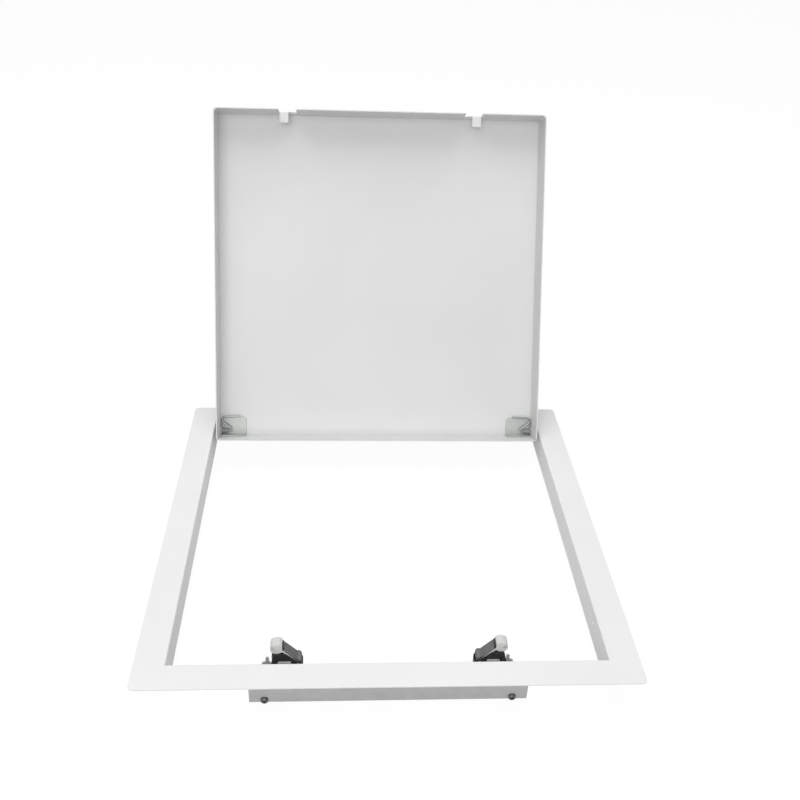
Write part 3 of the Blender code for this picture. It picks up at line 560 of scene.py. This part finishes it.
def buildDoor():
    look = doorSheet
    sheet = look["sheet"]
    shape = bmesh.new()
    bmesh.ops.create_grid(shape, x_segments=1, y_segments=1, size=doorHalf)
    grown = bmesh.ops.extrude_edge_only(shape, edges=shape.edges[:])
    bmesh.ops.translate(shape, vec=(0, 0, -look["return"]), verts=newVerts(grown))
    bmesh.ops.recalc_face_normals(shape, faces=shape.faces[:])
    if max(shape.faces, key=lambda face: face.calc_area()).normal.z < 0:
        bmesh.ops.reverse_faces(shape, faces=shape.faces[:])
    bendFolds(shape, look["fold"], liesLevel)
    piece = pieceFrom("doorPressing", shape)
    modify(piece, "SOLIDIFY", thickness=sheet, offset=-1.0, use_even_offset=True)
    free, top = -look["return"] - 1, -look["return"] + look["reliefDepth"]
    near, past = doorHalf - look["relief"], doorHalf + 1
    slitHalf, slitReach = look["slit"] / 2, look["slitReach"]
    tabLow = -look["strikeDepth"] - sheet / 2
    tabBend = look["strikeBend"]
    for side in (-1, 1):
        for end in (-1, 1):
            carve(piece, block((side * near, side * past), (end * near, end * past), (free, top)))
            slit = block((-slitReach, slitReach), (-slitHalf, slitHalf), (top - 1, -look["slitTop"]))
            corner = Matrix.Translation((side * doorHalf, end * doorHalf, 0))
            turn = Matrix.Rotation(math.pi / 4 * side * end, 4, "Z")
            bmesh.ops.transform(slit, matrix=corner @ turn, verts=slit.verts)
            carve(piece, slit)
        outer = side * (look["strikeOuter"] + look["notchClear"])
        slot = (-doorHalf - 1, -doorHalf + sheet + look["notchPast"])
        carve(piece, block((outer, outer - side * look["notch"]), slot, (free, tabLow + tabBend)))
        inside, outside = side * (doorHalf - 3), side * (doorHalf + 1)
        carve(piece, rod("x", inside, outside, hingeSpot, look["sleeveHole"] / 2))
        face, tip = -doorHalf + look["strikeInset"], -doorHalf + sheet + look["strikeLength"]
        path = [(face, tabLow + tabBend + look["strikeRoot"]), (face, tabLow), (tip, tabLow)]
        ends = (side * look["strikeOuter"], side * (look["strikeOuter"] - look["strikeWidth"]))
        trims = [((x, tip, tabLow), look["strikeCorner"], 4) for x in sorted(ends)]
        tab = foldedSheet("tab", path, "x", *sorted(ends), (0, -1, 0), sheet, tabBend, trims)
        carve(piece, tab, "UNION")
    finishPiece(piece, "door_pan", doorPlace, edge=look["edge"])


# Latch rail: an angle spot-welded behind the latch side's upstand, whose shelf carries the latches
railSheet = {
    "half": 112.0,
    "sheet": 1.2,
    "top": 8.0,
    "bottom": 41.7,
    "shelf": 30.0,
    "fold": 1.6,
    "corner": 3.0,
    "screw": (99.7, -37.9),
    "hole": 3.6,
    "weldsAside": 2,  # on each side of the one in the middle
    "weldSpacing": 52.0,
    "weldDepth": 17.0,
    # distance into the sheet and radius, from outside to the bottom of the mark
    "weldMark": ((-1.0, 0.0), (-1.0, 2.6), (0.0, 2.5), (0.14, 1.9), (0.22, 1.0), (0.25, 0.0)),
    "edge": 0.15,
}
latchMiddle = -openingHalf + 16.5
housingScrews = (3.5, 15.0)  # outwards from the jaw's pivot


def buildRail():
    look = railSheet
    sheet, end, bottom = look["sheet"], look["half"], look["bottom"]
    outside = -(openingHalf + frameSheet["sheet"] + gap + sheet)
    path = [(outside, -look["top"]), (outside, -bottom), (-openingHalf + look["shelf"], -bottom)]
    trims = [((side * end, outside, -look["top"]), look["corner"], 6) for side in (-1, 1)]
    piece = foldedSheet("latchRailAngle", path, "x", -end, end, (0, -1, 0), sheet, look["fold"], trims)
    x, z = look["screw"]
    below, hole = -bottom - 2, look["hole"] / 2
    for side in (-1, 1):
        carve(piece, rod("y", outside - 2, outside + 3, (side * x, z), hole))
        for reach in housingScrews:
            spot = (side * (pivotPoint.x + reach), latchMiddle)
            carve(piece, rod("z", below, below + 5, spot, hole))
    for weld in range(-look["weldsAside"], look["weldsAside"] + 1):
        spot = (weld * look["weldSpacing"], outside, -look["weldDepth"])
        carve(piece, turned(look["weldMark"], spot, (0, 1, 0), 24))
    finishPiece(piece, "latch_rail", edge=look["edge"], edgeSteps=2)


# Pan-head screws with a cross recess and a rolled thread
railScrew = {"head": 6.4, "height": 2.2, "shank": 3.0, "length": 4.4, "recess": 3.9}
housingScrew = {"head": 5.4, "height": 1.7, "shank": 3.0, "length": 5.0, "recess": 3.2}
screwForm = {
    "flat": 0.3,  # share of the head's radius that is flat on top
    "dome": 0.7,  # share of its radius and height that is domed
    "rim": 0.12,
    "neck": 0.3,
    "pitch": 0.6,
    "threadDepth": 0.25,
    "crestEnd": 0.35,
    "tip": 0.5,
    "tipDepth": 0.8,
    "wing": 0.5,
    "recessDepth": 1.3,
    "recessTaper": (0.45, 0.5, 1.0),
    "edge": 0.06,
}


def buildScrew(name, node, look, start, direction, side):
    form = screwForm
    head, height, length = look["head"] / 2, look["height"], look["length"]
    shank = look["shank"] / 2
    root, rim, pitch = shank - form["threadDepth"], form["rim"], form["pitch"]
    profile = [(-height, 0.0), (-height, head * form["flat"])]
    for degrees in (18, 36, 54, 72, 90):
        angle = math.radians(degrees)
        across = head * form["flat"] + head * form["dome"] * math.sin(angle)
        profile.append((-height + height * form["dome"] * (1 - math.cos(angle)), across))
    profile += [(-rim, head), (0.0, head - rim), (0.0, root)]
    thread = form["neck"]
    while thread + pitch < length - pitch:
        profile += [(thread, root), (thread + form["threadDepth"], shank), (thread + form["crestEnd"], shank)]
        thread += pitch
    profile += [(length - form["tip"], root), (length, shank - form["tipDepth"]), (length, 0.0)]
    piece = pieceFrom(name, turned(profile, start, direction, 36))
    half, wing = look["recess"] / 2, form["wing"]
    for quarter in (0, 1):
        cross = block((-half, half), (-wing, wing), (-height - 1.0, -height + form["recessDepth"]))
        deep = [vert for vert in cross.verts if vert.co.z > -height]
        bmesh.ops.scale(cross, vec=form["recessTaper"], verts=deep)
        turn = Matrix.Rotation(math.pi / 2 * quarter, 4, "Z")
        place = Matrix.Translation(start) @ facing(direction) @ turn
        bmesh.ops.transform(cross, matrix=place, verts=cross.verts)
        carve(piece, cross)
    finishPiece(piece, node, side=side, edge=form["edge"], edgeSteps=1)


# Hinge plate: a zinc-plated pressing in each corner of the pan, a base with a wall up both returns
hingePlate = {
    "length": 27.0,
    "width": 21.0,
    "sheet": 1.2,
    "fold": 1.6,
    "wall": 11.0,
    "sideWall": 11.0,
    "corner": 4.0,
    "cutCorner": 3.0,
    "wallCorner": 2.0,
    "sideCorner": 2.5,
    "edge": 0.18,
}


def buildHingePlate(word, ending, side):
    look = hingePlate
    sheet, fold = look["sheet"], look["fold"]
    under = -doorSheet["sheet"] - gap
    outer = doorHalf - doorSheet["sheet"] - gap
    inner, low = outer - look["length"], doorHalf - look["width"]
    foot = under - look["wall"]
    trims = [((inner, low, under), look["corner"], 8), ((outer, low, under), look["cutCorner"], 1)]
    trims += [((inner, outer, foot), look["wallCorner"], 5)]
    path = [(low, under), (outer, under), (outer, foot)]
    piece = foldedSheet("hingePlate" + word, path, "x", inner, outer, (0, 0, 1), sheet, fold, trims)
    near, far, top = outer - look["sideWall"], outer - 0.2, under - 0.1
    wall = [(near, top), (far, top), (far, foot, 1.0), (near, foot, look["sideCorner"])]
    carve(piece, cutOut(wall, "x", outer - sheet, outer), "UNION")
    carve(piece, rod("x", outer - 3, outer + 2, hingeSpot, hingeSleeve["body"] / 2 + gap))
    finishPiece(piece, "hinge_bracket" + ending, doorPlace, side, look["edge"])


# Sleeve: a tapered nylon bush that snaps into the pan's side return
hingeSleeve = {
    "bore": 2.6,
    "tip": 3.6,
    "body": 5.5,
    "neck": 4.0,
    "length": 8.8,
    "collar": 1.2,
    "rimFrom": 2.2,
    "rimTo": 1.9,
    "rimHeight": 0.12,
    "ease": 0.15,
    "boreEase": 0.1,
    "collarEase": 0.3,
}


def buildHingeSleeve(word, ending, side):
    look = hingeSleeve
    bore, tip, body, neck = (look[key] / 2 for key in ("bore", "tip", "body", "neck"))
    ease, mouth, lip, length = (look[key] for key in ("ease", "boreEase", "collarEase", "length"))
    end = length + doorSheet["sheet"] + look["collar"]
    profile = [(0.0, bore + mouth), (0.0, tip - ease), (ease, tip)]
    profile += [(length - look["rimFrom"], body - look["rimHeight"]), (length - look["rimTo"], body)]
    profile += [(length - ease, body), (length, body - ease), (length, neck)]
    profile += [(end - lip, neck), (end, neck - lip), (end, bore + mouth), (end - mouth, bore), (mouth, bore)]
    start = (doorHalf - doorSheet["sheet"] - gap - length, hingePoint.y, hingePoint.z)
    piece = pieceFrom("hingeSleeve" + word, turned(profile, start, (1, 0, 0), 36, bored=True))
    finishPiece(piece, "hinge_sleeve" + ending, doorPlace, side)


# Hinge wire: spring wire bent flat. Its straight end is the pin, and the rest is the finger grip.
hingeWire = {
    "radius": 1.0,
    "tip": 178.5,
    "moves": ((18.4, 2.0, 146.0), (8.6, 3.5, -143.0), (16.2, 0.0, 0.0)),  # straight, bend radius, turn
    "sides": 20,
    "bendStep": 9,  # degrees
    "edge": 0.3,
}


def buildHingeWire(word, ending, side):
    look = hingeWire
    shape = bmesh.new()
    place = Vector((look["tip"], hingePoint.y, hingePoint.z))
    heading = math.pi
    stand = Matrix.Translation(place) @ Matrix.Rotation(math.pi / 2, 4, "Y")
    bmesh.ops.create_circle(shape, cap_ends=True, segments=look["sides"], radius=look["radius"], matrix=stand)
    cap = shape.faces[:]
    for straight, radius, turn in look["moves"]:
        step = Vector((math.cos(heading), math.sin(heading), 0)) * straight
        cap, moved = drawOut(shape, cap)
        bmesh.ops.translate(shape, vec=step, verts=moved)
        place = place + step
        if radius == 0:
            continue
        way = math.copysign(1, turn)
        centre = place + Vector((-math.sin(heading), math.cos(heading), 0)) * radius * way
        steps = int(abs(turn) / look["bendStep"])
        part = Matrix.Rotation(math.radians(turn) / steps, 3, "Z")
        for count in range(steps):
            cap, moved = drawOut(shape, cap)
            bmesh.ops.rotate(shape, cent=centre, matrix=part, verts=moved)
        place = turnAbout(centre, math.radians(turn), "Z") @ place
        heading += math.radians(turn)
    bmesh.ops.recalc_face_normals(shape, faces=shape.faces[:])
    piece = pieceFrom("hingeWire" + word, shape)
    finishPiece(piece, "hinge_wire" + ending, doorPlace, side, look["edge"])


# Touch latch: everything is drawn about the jaw's pivot, outward and up
latchHousing = {
    "front": 10.5,
    "depth": 12.0,
    "inner": -3.5,
    "outer": 21.8,
    "top": 9.6,
    "floor": 2.0,
    "cheek": 1.2,
    "innerWall": 6.5,  # each end wall stops this far below the pivot
    "outerWall": 15.5,
    "boss": 2.4,
    "bossHeight": 0.25,
    "edge": 0.25,
}
latchBracket = {
    "sheet": 1.2,
    "fold": 1.4,
    "ear": 7.5,
    "earWidth": 8.0,
    "screwReach": 26.7,
    "end": 4.3,
    "lugTop": -5.9,
    "clipSpan": (5.5, 16.0),
    "clipTop": 2.6,
    "clipSheet": 1.0,
    "clipCorner": 1.0,
    "edge": 0.15,
}
latchFront = -openingHalf + latchHousing["front"]
latchRear = latchFront + latchHousing["depth"]
jawFront = latchFront + latchHousing["cheek"] + gap
jawRear = latchRear - latchHousing["cheek"] - gap
shelfTop = -railSheet["bottom"] + railSheet["sheet"]
baseBottom = shelfTop + gap
baseTop = baseBottom + latchBracket["sheet"]
floorBottom = baseTop + gap
floorTop = floorBottom + latchHousing["floor"]


def fromPivot(points):
    return [(pivotPoint.x + point[0], pivotPoint.z + point[1], *point[2:]) for point in points]


def buildLatchBracket(word, ending, side):
    look = latchBracket
    sheet, fold, reach = look["sheet"], look["fold"], look["screwReach"]
    front = -(openingHalf + frameSheet["sheet"])
    far = latchRear + gap + sheet
    inner = pivotPoint.x + latchHousing["inner"] - 1
    outer = pivotPoint.x + reach + look["end"]
    path = [(front, baseTop + look["ear"]), (front, baseBottom)]
    path += [(far, baseBottom), (far, pivotPoint.z + 3.0)]
    piece = foldedSheet("latchBracket" + word, path, "x", inner, outer, (0, -1, 0), sheet, fold)
    ear = pivotPoint.x + reach - look["earWidth"]
    carve(piece, block((inner - 1, ear), (front - 1, front + fold + 0.2), (baseBottom - 1, 0)))
    low, top = baseBottom - pivotPoint.z, look["lugTop"]
    left, right = latchHousing["inner"] - 2, reach + look["end"]
    above = [
        (left, 6.0),
        (left, low + 10),
        (reach - 4.6, low + 10, 1.0),
        (reach - 3.7, top - 5.6, 0.6),
        (reach - 2.6, top - 5.0, 0.4),
        (reach - 2.5, top, 0.5),
        (reach + 0.1, top, 0.5),
        (reach + 0.3, top - 5.0, 0.4),
        (reach + 2.4, top - 5.3, 0.4),
        (reach + 3.4, top - 6.7, 0.5),
        (right - 0.5, low + 12),
        (right, low + 9),
        (right + 2, low + 9),
        (right + 2, 6.0),
    ]
    carve(piece, cutOut(fromPivot(above), "y", latchRear - 0.3, far + 1))
    near, end = look["clipSpan"]
    foot, head, corner = low + sheet / 4, look["clipTop"], look["clipCorner"]
    clip = [(near, foot), (end, foot), (end, head, corner), (near, head, corner)]
    face = latchFront - gap
    carve(piece, cutOut(fromPivot(clip), "y", face - look["clipSheet"], face), "UNION")
    hole = railSheet["hole"] / 2
    carve(piece, rod("y", front - 1, front + 3, railSheet["screw"], hole))
    for screw in housingScrews:
        spot = (pivotPoint.x + screw, latchMiddle)
        carve(piece, rod("z", baseBottom - 1, baseTop + 1, spot, hole))
    finishPiece(piece, "latch_bracket" + ending, side=side, edge=look["edge"], edgeSteps=2)


def buildLatchHousing(word, ending, side):
    look = latchHousing
    low = floorBottom - pivotPoint.z
    inner, outer, top, wall = look["inner"], look["outer"], look["top"], look["cheek"]
    cheek = [(inner, low), (outer, low), (outer, -2.5, 2.0), (outer - 0.9, 3.0, 2.0)]
    cheek += [(outer - 2.5, top, 0.8), (10.0, top, 1.0), (2.0, 2.3, 0.8)]
    cheek += [(-2.3, 2.3, 2.2), (-2.3, -2.5, 0.6), (inner, -4.0, 0.6)]
    cheek = fromPivot(cheek)
    piece = pieceFrom("latchHousing" + word, cutOut(cheek, "y", latchFront, latchFront + wall))
    carve(piece, cutOut(cheek, "y", latchRear - wall, latchRear), "UNION")
    span = (latchFront + 0.2, latchRear - 0.2)
    left, right, foot = pivotPoint.x + inner, pivotPoint.x + outer, floorBottom + 0.1
    carve(piece, block((left, right), span, (floorBottom, floorTop)), "UNION")
    carve(piece, block((left, left + wall), span, (foot, pivotPoint.z - look["innerWall"])), "UNION")
    carve(piece, block((right - wall, right), span, (foot, pivotPoint.z - look["outerWall"])), "UNION")
    boss = rod("y", latchFront - look["bossHeight"], latchFront + 0.5, pivotSpot, look["boss"])
    carve(piece, boss, "UNION")
    carve(piece, rod("y", latchFront - 2, latchRear + 2, pivotSpot, pivotPin["diameter"] / 2 + gap))
    for screw in housingScrews:
        spot = (pivotPoint.x + screw, latchMiddle)
        carve(piece, rod("z", floorBottom - 1, floorTop + 1, spot, railSheet["hole"] / 2))
    finishPiece(piece, "latch_housing" + ending, side=side, edge=look["edge"])


# Jaw: a head on an arm, with a barrel round the pivot and a mouth that takes the strike
latchJaw = {
    "head": (
        (12.4, 10.9),
        (12.4, 17.2, 0.5),
        (14.3, 18.7, 0.6),
        (17.8, 18.9, 0.8),
        (21.7, 16.8, 0.8),
        (22.0, 12.2, 0.8),
        (19.8, 9.7, 0.8),
        (16.0, 9.2, 0.8),
    ),
    "slope": 46.0,
    "armFoot": (0.4, 1.0),
    "armStart": 0.2,
    "armLength": 21.0,
    "armThickness": 1.6,
    "barrel": 2.1,
    "mouth": ((21.6, -1.2, 0.4), (30.0, -2.0), (30.0, 1.9), (21.6, 1.1, 0.4)),  # up from the strike
    "mouthDepth": 4.4,
    "edge": 0.3,
}


def alongArm(points):  # distance up the open arm, and height over its top
    slope = math.radians(latchJaw["slope"])
    along = Vector((math.cos(slope), math.sin(slope)))
    across = Vector((-math.sin(slope), math.cos(slope)))
    return [Vector(latchJaw["armFoot"]) + along * point[0] + across * point[1] for point in points]


def turnedUp(points, angle):
    turn = Matrix.Rotation(angle, 2)
    return [(*(turn @ Vector(point[:2])), *point[2:]) for point in points]


def buildJaw(word, ending, side):
    look = latchJaw
    piece = pieceFrom("latchJaw" + word, cutOut(fromPivot(look["head"]), "y", jawFront, jawRear))
    near, far, under = look["armStart"], look["armLength"], -look["armThickness"]
    arm = fromPivot(alongArm([(near, 0.0), (far, 0.0), (far, under), (near, under)]))
    carve(piece, cutOut(arm, "y", jawFront, jawRear), "UNION")
    carve(piece, rod("y", jawFront, jawRear, pivotSpot, look["barrel"]), "UNION")
    carve(piece, rod("y", jawFront - 1, jawRear + 1, pivotSpot, pivotPin["diameter"] / 2 + gap))
    level = -pivotPoint.z - doorSheet["strikeDepth"]
    mouth = [(across, level + up, *corner) for across, up, *corner in look["mouth"]]
    mouth = fromPivot(turnedUp(mouth, jawSwing))
    carve(piece, cutOut(mouth, "y", jawFront - 1, jawFront + look["mouthDepth"]))
    x, z = pivotSpot
    springRoom = ((x - 4, x + 3.4), (-openingHalf + 14.6, -openingHalf + 18.4), (z - 4.5, z + 6.5))
    carve(piece, block(*springRoom))
    finishPiece(piece, "latch_jaw" + ending, side=side, edge=look["edge"])


# Pad: a ribbed rubber cover on the arm, with a hood round the barrel
latchPad = {
    "from": 1.0,
    "to": 18.4,
    "end": 10.7,
    "base": 1.1,
    "top": 1.5,
    "ribs": 4,
    "hood": 2.9,
    "roundness": 48,
    "sliver": 0.02,
    "edge": 0.1,
}


def buildPad(word, ending, side):
    look = latchPad
    base, top, ribs, roundness = look["base"], look["top"], look["ribs"], look["roundness"]
    step = (jawRear - jawFront) / (ribs * 2 - 1)
    section = [(jawRear, gap), (jawFront, gap)]
    for rib in range(ribs):
        near = jawFront + step * 2 * rib
        if rib:
            section.append((near, base))
        section += [(near, top), (near + step, top)]
        if rib < ribs - 1:
            section.append((near + step, base))
    shape = cutOut(section, "x", look["from"], look["to"])
    x, z = pivotSpot
    foot = Vector((x + latchJaw["armFoot"][0], 0, z + latchJaw["armFoot"][1]))
    tilt = Matrix.Translation(foot) @ Matrix.Rotation(-math.radians(latchJaw["slope"]), 4, "Y")
    bmesh.ops.transform(shape, matrix=tilt, verts=shape.verts)
    piece = pieceFrom("latchPad" + word, shape)
    hood = pieceFrom("hood", rod("y", jawFront, jawRear, pivotSpot, look["hood"], roundness))
    barrel = latchJaw["barrel"] + gap
    carve(hood, rod("y", jawFront - 1, jawRear + 1, pivotSpot, barrel, roundness))
    under = block((-9, 9), (jawFront - 2, jawRear + 2), (-9, gap))
    bmesh.ops.transform(under, matrix=tilt, verts=under.verts)
    carve(hood, under)
    carve(piece, hood, "UNION")
    carve(piece, rod("y", jawFront - 1, jawRear + 1, pivotSpot, barrel, roundness))
    carve(piece, block((x + look["end"], x + 20), (jawFront - 2, jawRear + 2), (z, z + 30)))
    dropSlivers(piece, look["sliver"])
    joinFlats(piece)
    finishPiece(piece, "latch_jaw_pad" + ending, side=side, edge=look["edge"], edgeSteps=2)


# A black block stands upright between the pad and the head as painted shade: it stands in for the shadow in
# the gap there, in the housing's black nylon
shadowGapBlock = {
    "outline": ((10.9, 12.2), (12.3, 13.65), (12.3, 15.9, 0.5), (10.9, 14.6, 0.4)),
    "inset": 0.1,
    "edge": 0.15,
}


def buildShadowGapBlock(word, ending, side):
    look = shadowGapBlock
    shape = cutOut(fromPivot(look["outline"]), "y", jawFront + look["inset"], jawRear - look["inset"])
    piece = pieceFrom("latchPaintedShadowGap" + word, shape)
    finishPiece(piece, "latch_housing" + ending, side=side, edge=look["edge"], body="jaw" + ending)


# Pivot pin: a plain pin with rounded ends, a little proud of both cheeks
pivotPin = {"diameter": 2.0, "proud": 0.5, "ease": 0.25, "easeMiddle": 0.08}


def buildPivotPin(word, ending, side):
    look = pivotPin
    radius, ease, middle = look["diameter"] / 2, look["ease"], look["easeMiddle"]
    length = latchHousing["depth"] + 2 * look["proud"]
    profile = [(0.0, 0.0), (0.0, radius - ease), (middle, radius - middle), (ease, radius)]
    profile += [(length - ease, radius), (length - middle, radius - middle)]
    profile += [(length, radius - ease), (length, 0.0)]
    start = (pivotPoint.x, latchFront - look["proud"], pivotPoint.z)
    piece = pieceFrom("latchPivotPin" + word, turned(profile, start, (0, 1, 0), 28))
    finishPiece(piece, "latch_pivot_pin" + ending, side=side)


# Spring: a torsion coil round the pin, with a leg along the arm and a straight tail
latchSpring = {
    "wire": 0.3,
    "radius": 1.75,
    "pitch": 0.7,
    "turns": 3.75,
    "from": 15.2,
    "leg": 6.0,
    "tail": 4.0,
    "turnSteps": 24,
    "sides": 10,
}


def buildSpring(word, ending, side):
    look = latchSpring
    slope = math.radians(latchJaw["slope"])
    turns = look["turns"] + slope / (2 * math.pi)
    first = slope - math.pi / 2
    steps = int(turns * look["turnSteps"])
    shape = bmesh.new()
    # The coil stands on end here, with the pivot as its axis, and is laid along the pin at the end
    middle = Vector((math.cos(first), math.sin(first), 0)) * look["radius"]
    stand = Matrix.Translation(middle) @ Matrix.Rotation(first, 4, "Z") @ Matrix.Rotation(math.pi / 2, 4, "X")
    bmesh.ops.create_circle(shape, cap_ends=True, segments=look["sides"], radius=look["wire"], matrix=stand)
    cap = shape.faces[:]
    leg = Vector((-math.sin(first), math.cos(first), 0)) * look["leg"]
    for vert in shape.verts:
        vert.co += leg
    cap, moved = drawOut(shape, cap)
    bmesh.ops.translate(shape, vec=-leg, verts=moved)
    turn = Matrix.Rotation(-2 * math.pi * turns / steps, 3, "Z")
    for count in range(steps):
        cap, moved = drawOut(shape, cap)
        bmesh.ops.rotate(shape, cent=(0, 0, 0), matrix=turn, verts=moved)
        bmesh.ops.translate(shape, vec=(0, 0, -look["pitch"] * turns / steps), verts=moved)
    end = first - 2 * math.pi * turns
    cap, moved = drawOut(shape, cap)
    tail = Vector((math.sin(end), -math.cos(end), 0)) * look["tail"]
    bmesh.ops.translate(shape, vec=tail, verts=moved)
    place = Matrix.Translation((pivotPoint.x, -openingHalf + look["from"], pivotPoint.z))
    lay = place @ Matrix.Rotation(math.pi / 2, 4, "X")
    bmesh.ops.transform(shape, matrix=lay, verts=shape.verts)
    bmesh.ops.recalc_face_normals(shape, faces=shape.faces[:])
    finishPiece(pieceFrom("latchSpring" + word, shape), "latch_spring" + ending, side=side)


buildFrame()
print("frame ready")
buildDoor()
print("door ready")
buildRail()
for word, ending, side in sides:
    buildHingePlate(word, ending, side)
    buildHingeSleeve(word, ending, side)
    buildHingeWire(word, ending, side)
print("rail and hinges ready")
screwX, screwZ = railSheet["screw"]
screwFace = -(openingHalf + frameSheet["sheet"] + railSheet["sheet"] + 2 * gap)
for word, ending, side in sides:
    buildLatchBracket(word, ending, side)
    buildLatchHousing(word, ending, side)
    buildJaw(word, ending, side)
    buildPad(word, ending, side)
    # painted shade: a black block in the gap between the pad and the head
    buildShadowGapBlock(word, ending, side)
    buildPivotPin(word, ending, side)
    buildSpring(word, ending, side)
    start = Vector((screwX, screwFace, screwZ))
    buildScrew("railScrew" + word, "rail_screw" + ending, railScrew, start, (0, 1, 0), side)
    for place, reach in zip(("inner", "outer"), housingScrews):
        start = Vector((pivotPoint.x + reach, latchMiddle, floorTop + gap))
        node = "latch_housing_screw_" + place + ending
        name = "latchHousingScrew" + place.title() + word
        buildScrew(name, node, housingScrew, start, (0, 0, -1), side)
print("latches ready")


# Floor, light and camera

studio = {
    "floorSize": 12.0,
    "floorColour": "B8B8B8",
    "floorRoughness": 0.9,
    "floorGlow": 1.19,
    "shadowShare": 0.22,
    "worldLight": 0.40,
    "overhead": {"place": (-0.25, -0.1, 2.2), "size": 1.8, "power": 24.5},
    "front": {"place": (-0.35, -2.5, 1.25), "size": 1.6, "power": 30.0},
}


def whiteForCamera(tree):
    light = addNode(tree, "ShaderNodeLightPath")
    seen = addNode(
        tree,
        "ShaderNodeMath",
        {"operation": "MAXIMUM"},
        {0: light.outputs["Is Camera Ray"], 1: light.outputs["Is Glossy Ray"]},
    )
    return addNode(
        tree,
        "ShaderNodeMath",
        {"operation": "MAXIMUM"},
        {0: seen.outputs[0], 1: light.outputs["Is Transmission Ray"]},
    ).outputs[0]


def buildFloor():
    shape = bmesh.new()
    bmesh.ops.create_grid(shape, x_segments=1, y_segments=1, size=studio["floorSize"] / 2)
    floor = pieceFrom("studioFloor", shape)
    material = bpy.data.materials.new("palePaperFloor")
    material.use_nodes = True
    tree = material.node_tree
    shader = tree.nodes["Principled BSDF"]
    shader.inputs["Base Color"].default_value = linearColour(studio["floorColour"])
    shader.inputs["Roughness"].default_value = studio["floorRoughness"]
    shader.inputs["Specular IOR Level"].default_value = 0.0
    glow = addNode(tree, "ShaderNodeEmission", {"Strength": studio["floorGlow"]})
    share = addNode(
        tree,
        "ShaderNodeMath",
        {"operation": "MULTIPLY", 1: 1 - studio["shadowShare"]},
        {0: whiteForCamera(tree)},
    )
    blend = addNode(
        tree,
        "ShaderNodeMixShader",
        links={0: share.outputs[0], 1: shader.outputs[0], 2: glow.outputs[0]},
    )
    tree.links.new(blend.outputs[0], tree.nodes["Material Output"].inputs["Surface"])
    floor.data.materials.append(material)


def buildWorld():
    world = bpy.data.worlds.new("studioWorld")
    world.use_nodes = True
    tree = world.node_tree
    strength = addNode(
        tree,
        "ShaderNodeMapRange",
        {"To Min": studio["worldLight"], "To Max": 1.0},
        {"Value": whiteForCamera(tree)},
    )
    background = tree.nodes["Background"]
    background.inputs["Color"].default_value = (1.0, 1.0, 1.0, 1.0)
    tree.links.new(strength.outputs[0], background.inputs["Strength"])
    bpy.context.scene.world = world


def buildLamp(name):
    look = studio[name]
    lamp = bpy.data.lights.new(name + "Softbox", "AREA")
    lamp.shape = "SQUARE"
    lamp.size = look["size"]
    lamp.energy = look["power"]
    holder = bpy.data.objects.new(name + "Softbox", lamp)
    holder.location = look["place"]
    holder.rotation_euler = (-Vector(look["place"])).to_track_quat("-Z", "Y").to_euler()
    bpy.context.scene.collection.objects.link(holder)


# The camera stands where the photograph's perspective puts it: its place in millimetres from the middle
# of the opening, its turns in degrees, and its focal length in pixels of an image 800 wide.
cameraLook = {
    "place": (-40.8, -707.4, 570.0),
    "down": 31.55,
    "yaw": 4.21,
    "roll": -2.52,
    "focal": 957.4,
    "image": 800,
    "sensor": 36.0,
    "nearest": 0.01,
}


def buildCamera():
    down, yaw, roll = (math.radians(cameraLook[key]) for key in ("down", "yaw", "roll"))
    ahead = Vector((math.sin(yaw) * math.cos(down), math.cos(yaw) * math.cos(down), -math.sin(down)))
    across = ahead.cross(Vector((0, 0, 1))).normalized()
    below = ahead.cross(across)
    right = across * math.cos(roll) + below * math.sin(roll)
    under = below * math.cos(roll) - across * math.sin(roll)
    camera = bpy.data.cameras.new("photoCamera")
    camera.sensor_width = cameraLook["sensor"]
    camera.lens = cameraLook["focal"] * camera.sensor_width / cameraLook["image"]
    camera.clip_start = cameraLook["nearest"]
    holder = bpy.data.objects.new("photoCamera", camera)
    turn = Matrix((right, -under, -ahead)).transposed().to_4x4()
    holder.matrix_world = Matrix.Translation(panelPlace @ Vector(cameraLook["place"])) @ turn
    bpy.context.scene.collection.objects.link(holder)
    bpy.context.scene.camera = holder


buildFloor()
buildWorld()
buildLamp("overhead")
buildLamp("front")
buildCamera()
bpy.context.scene.view_settings.view_transform = "Standard"
print("studio ready")
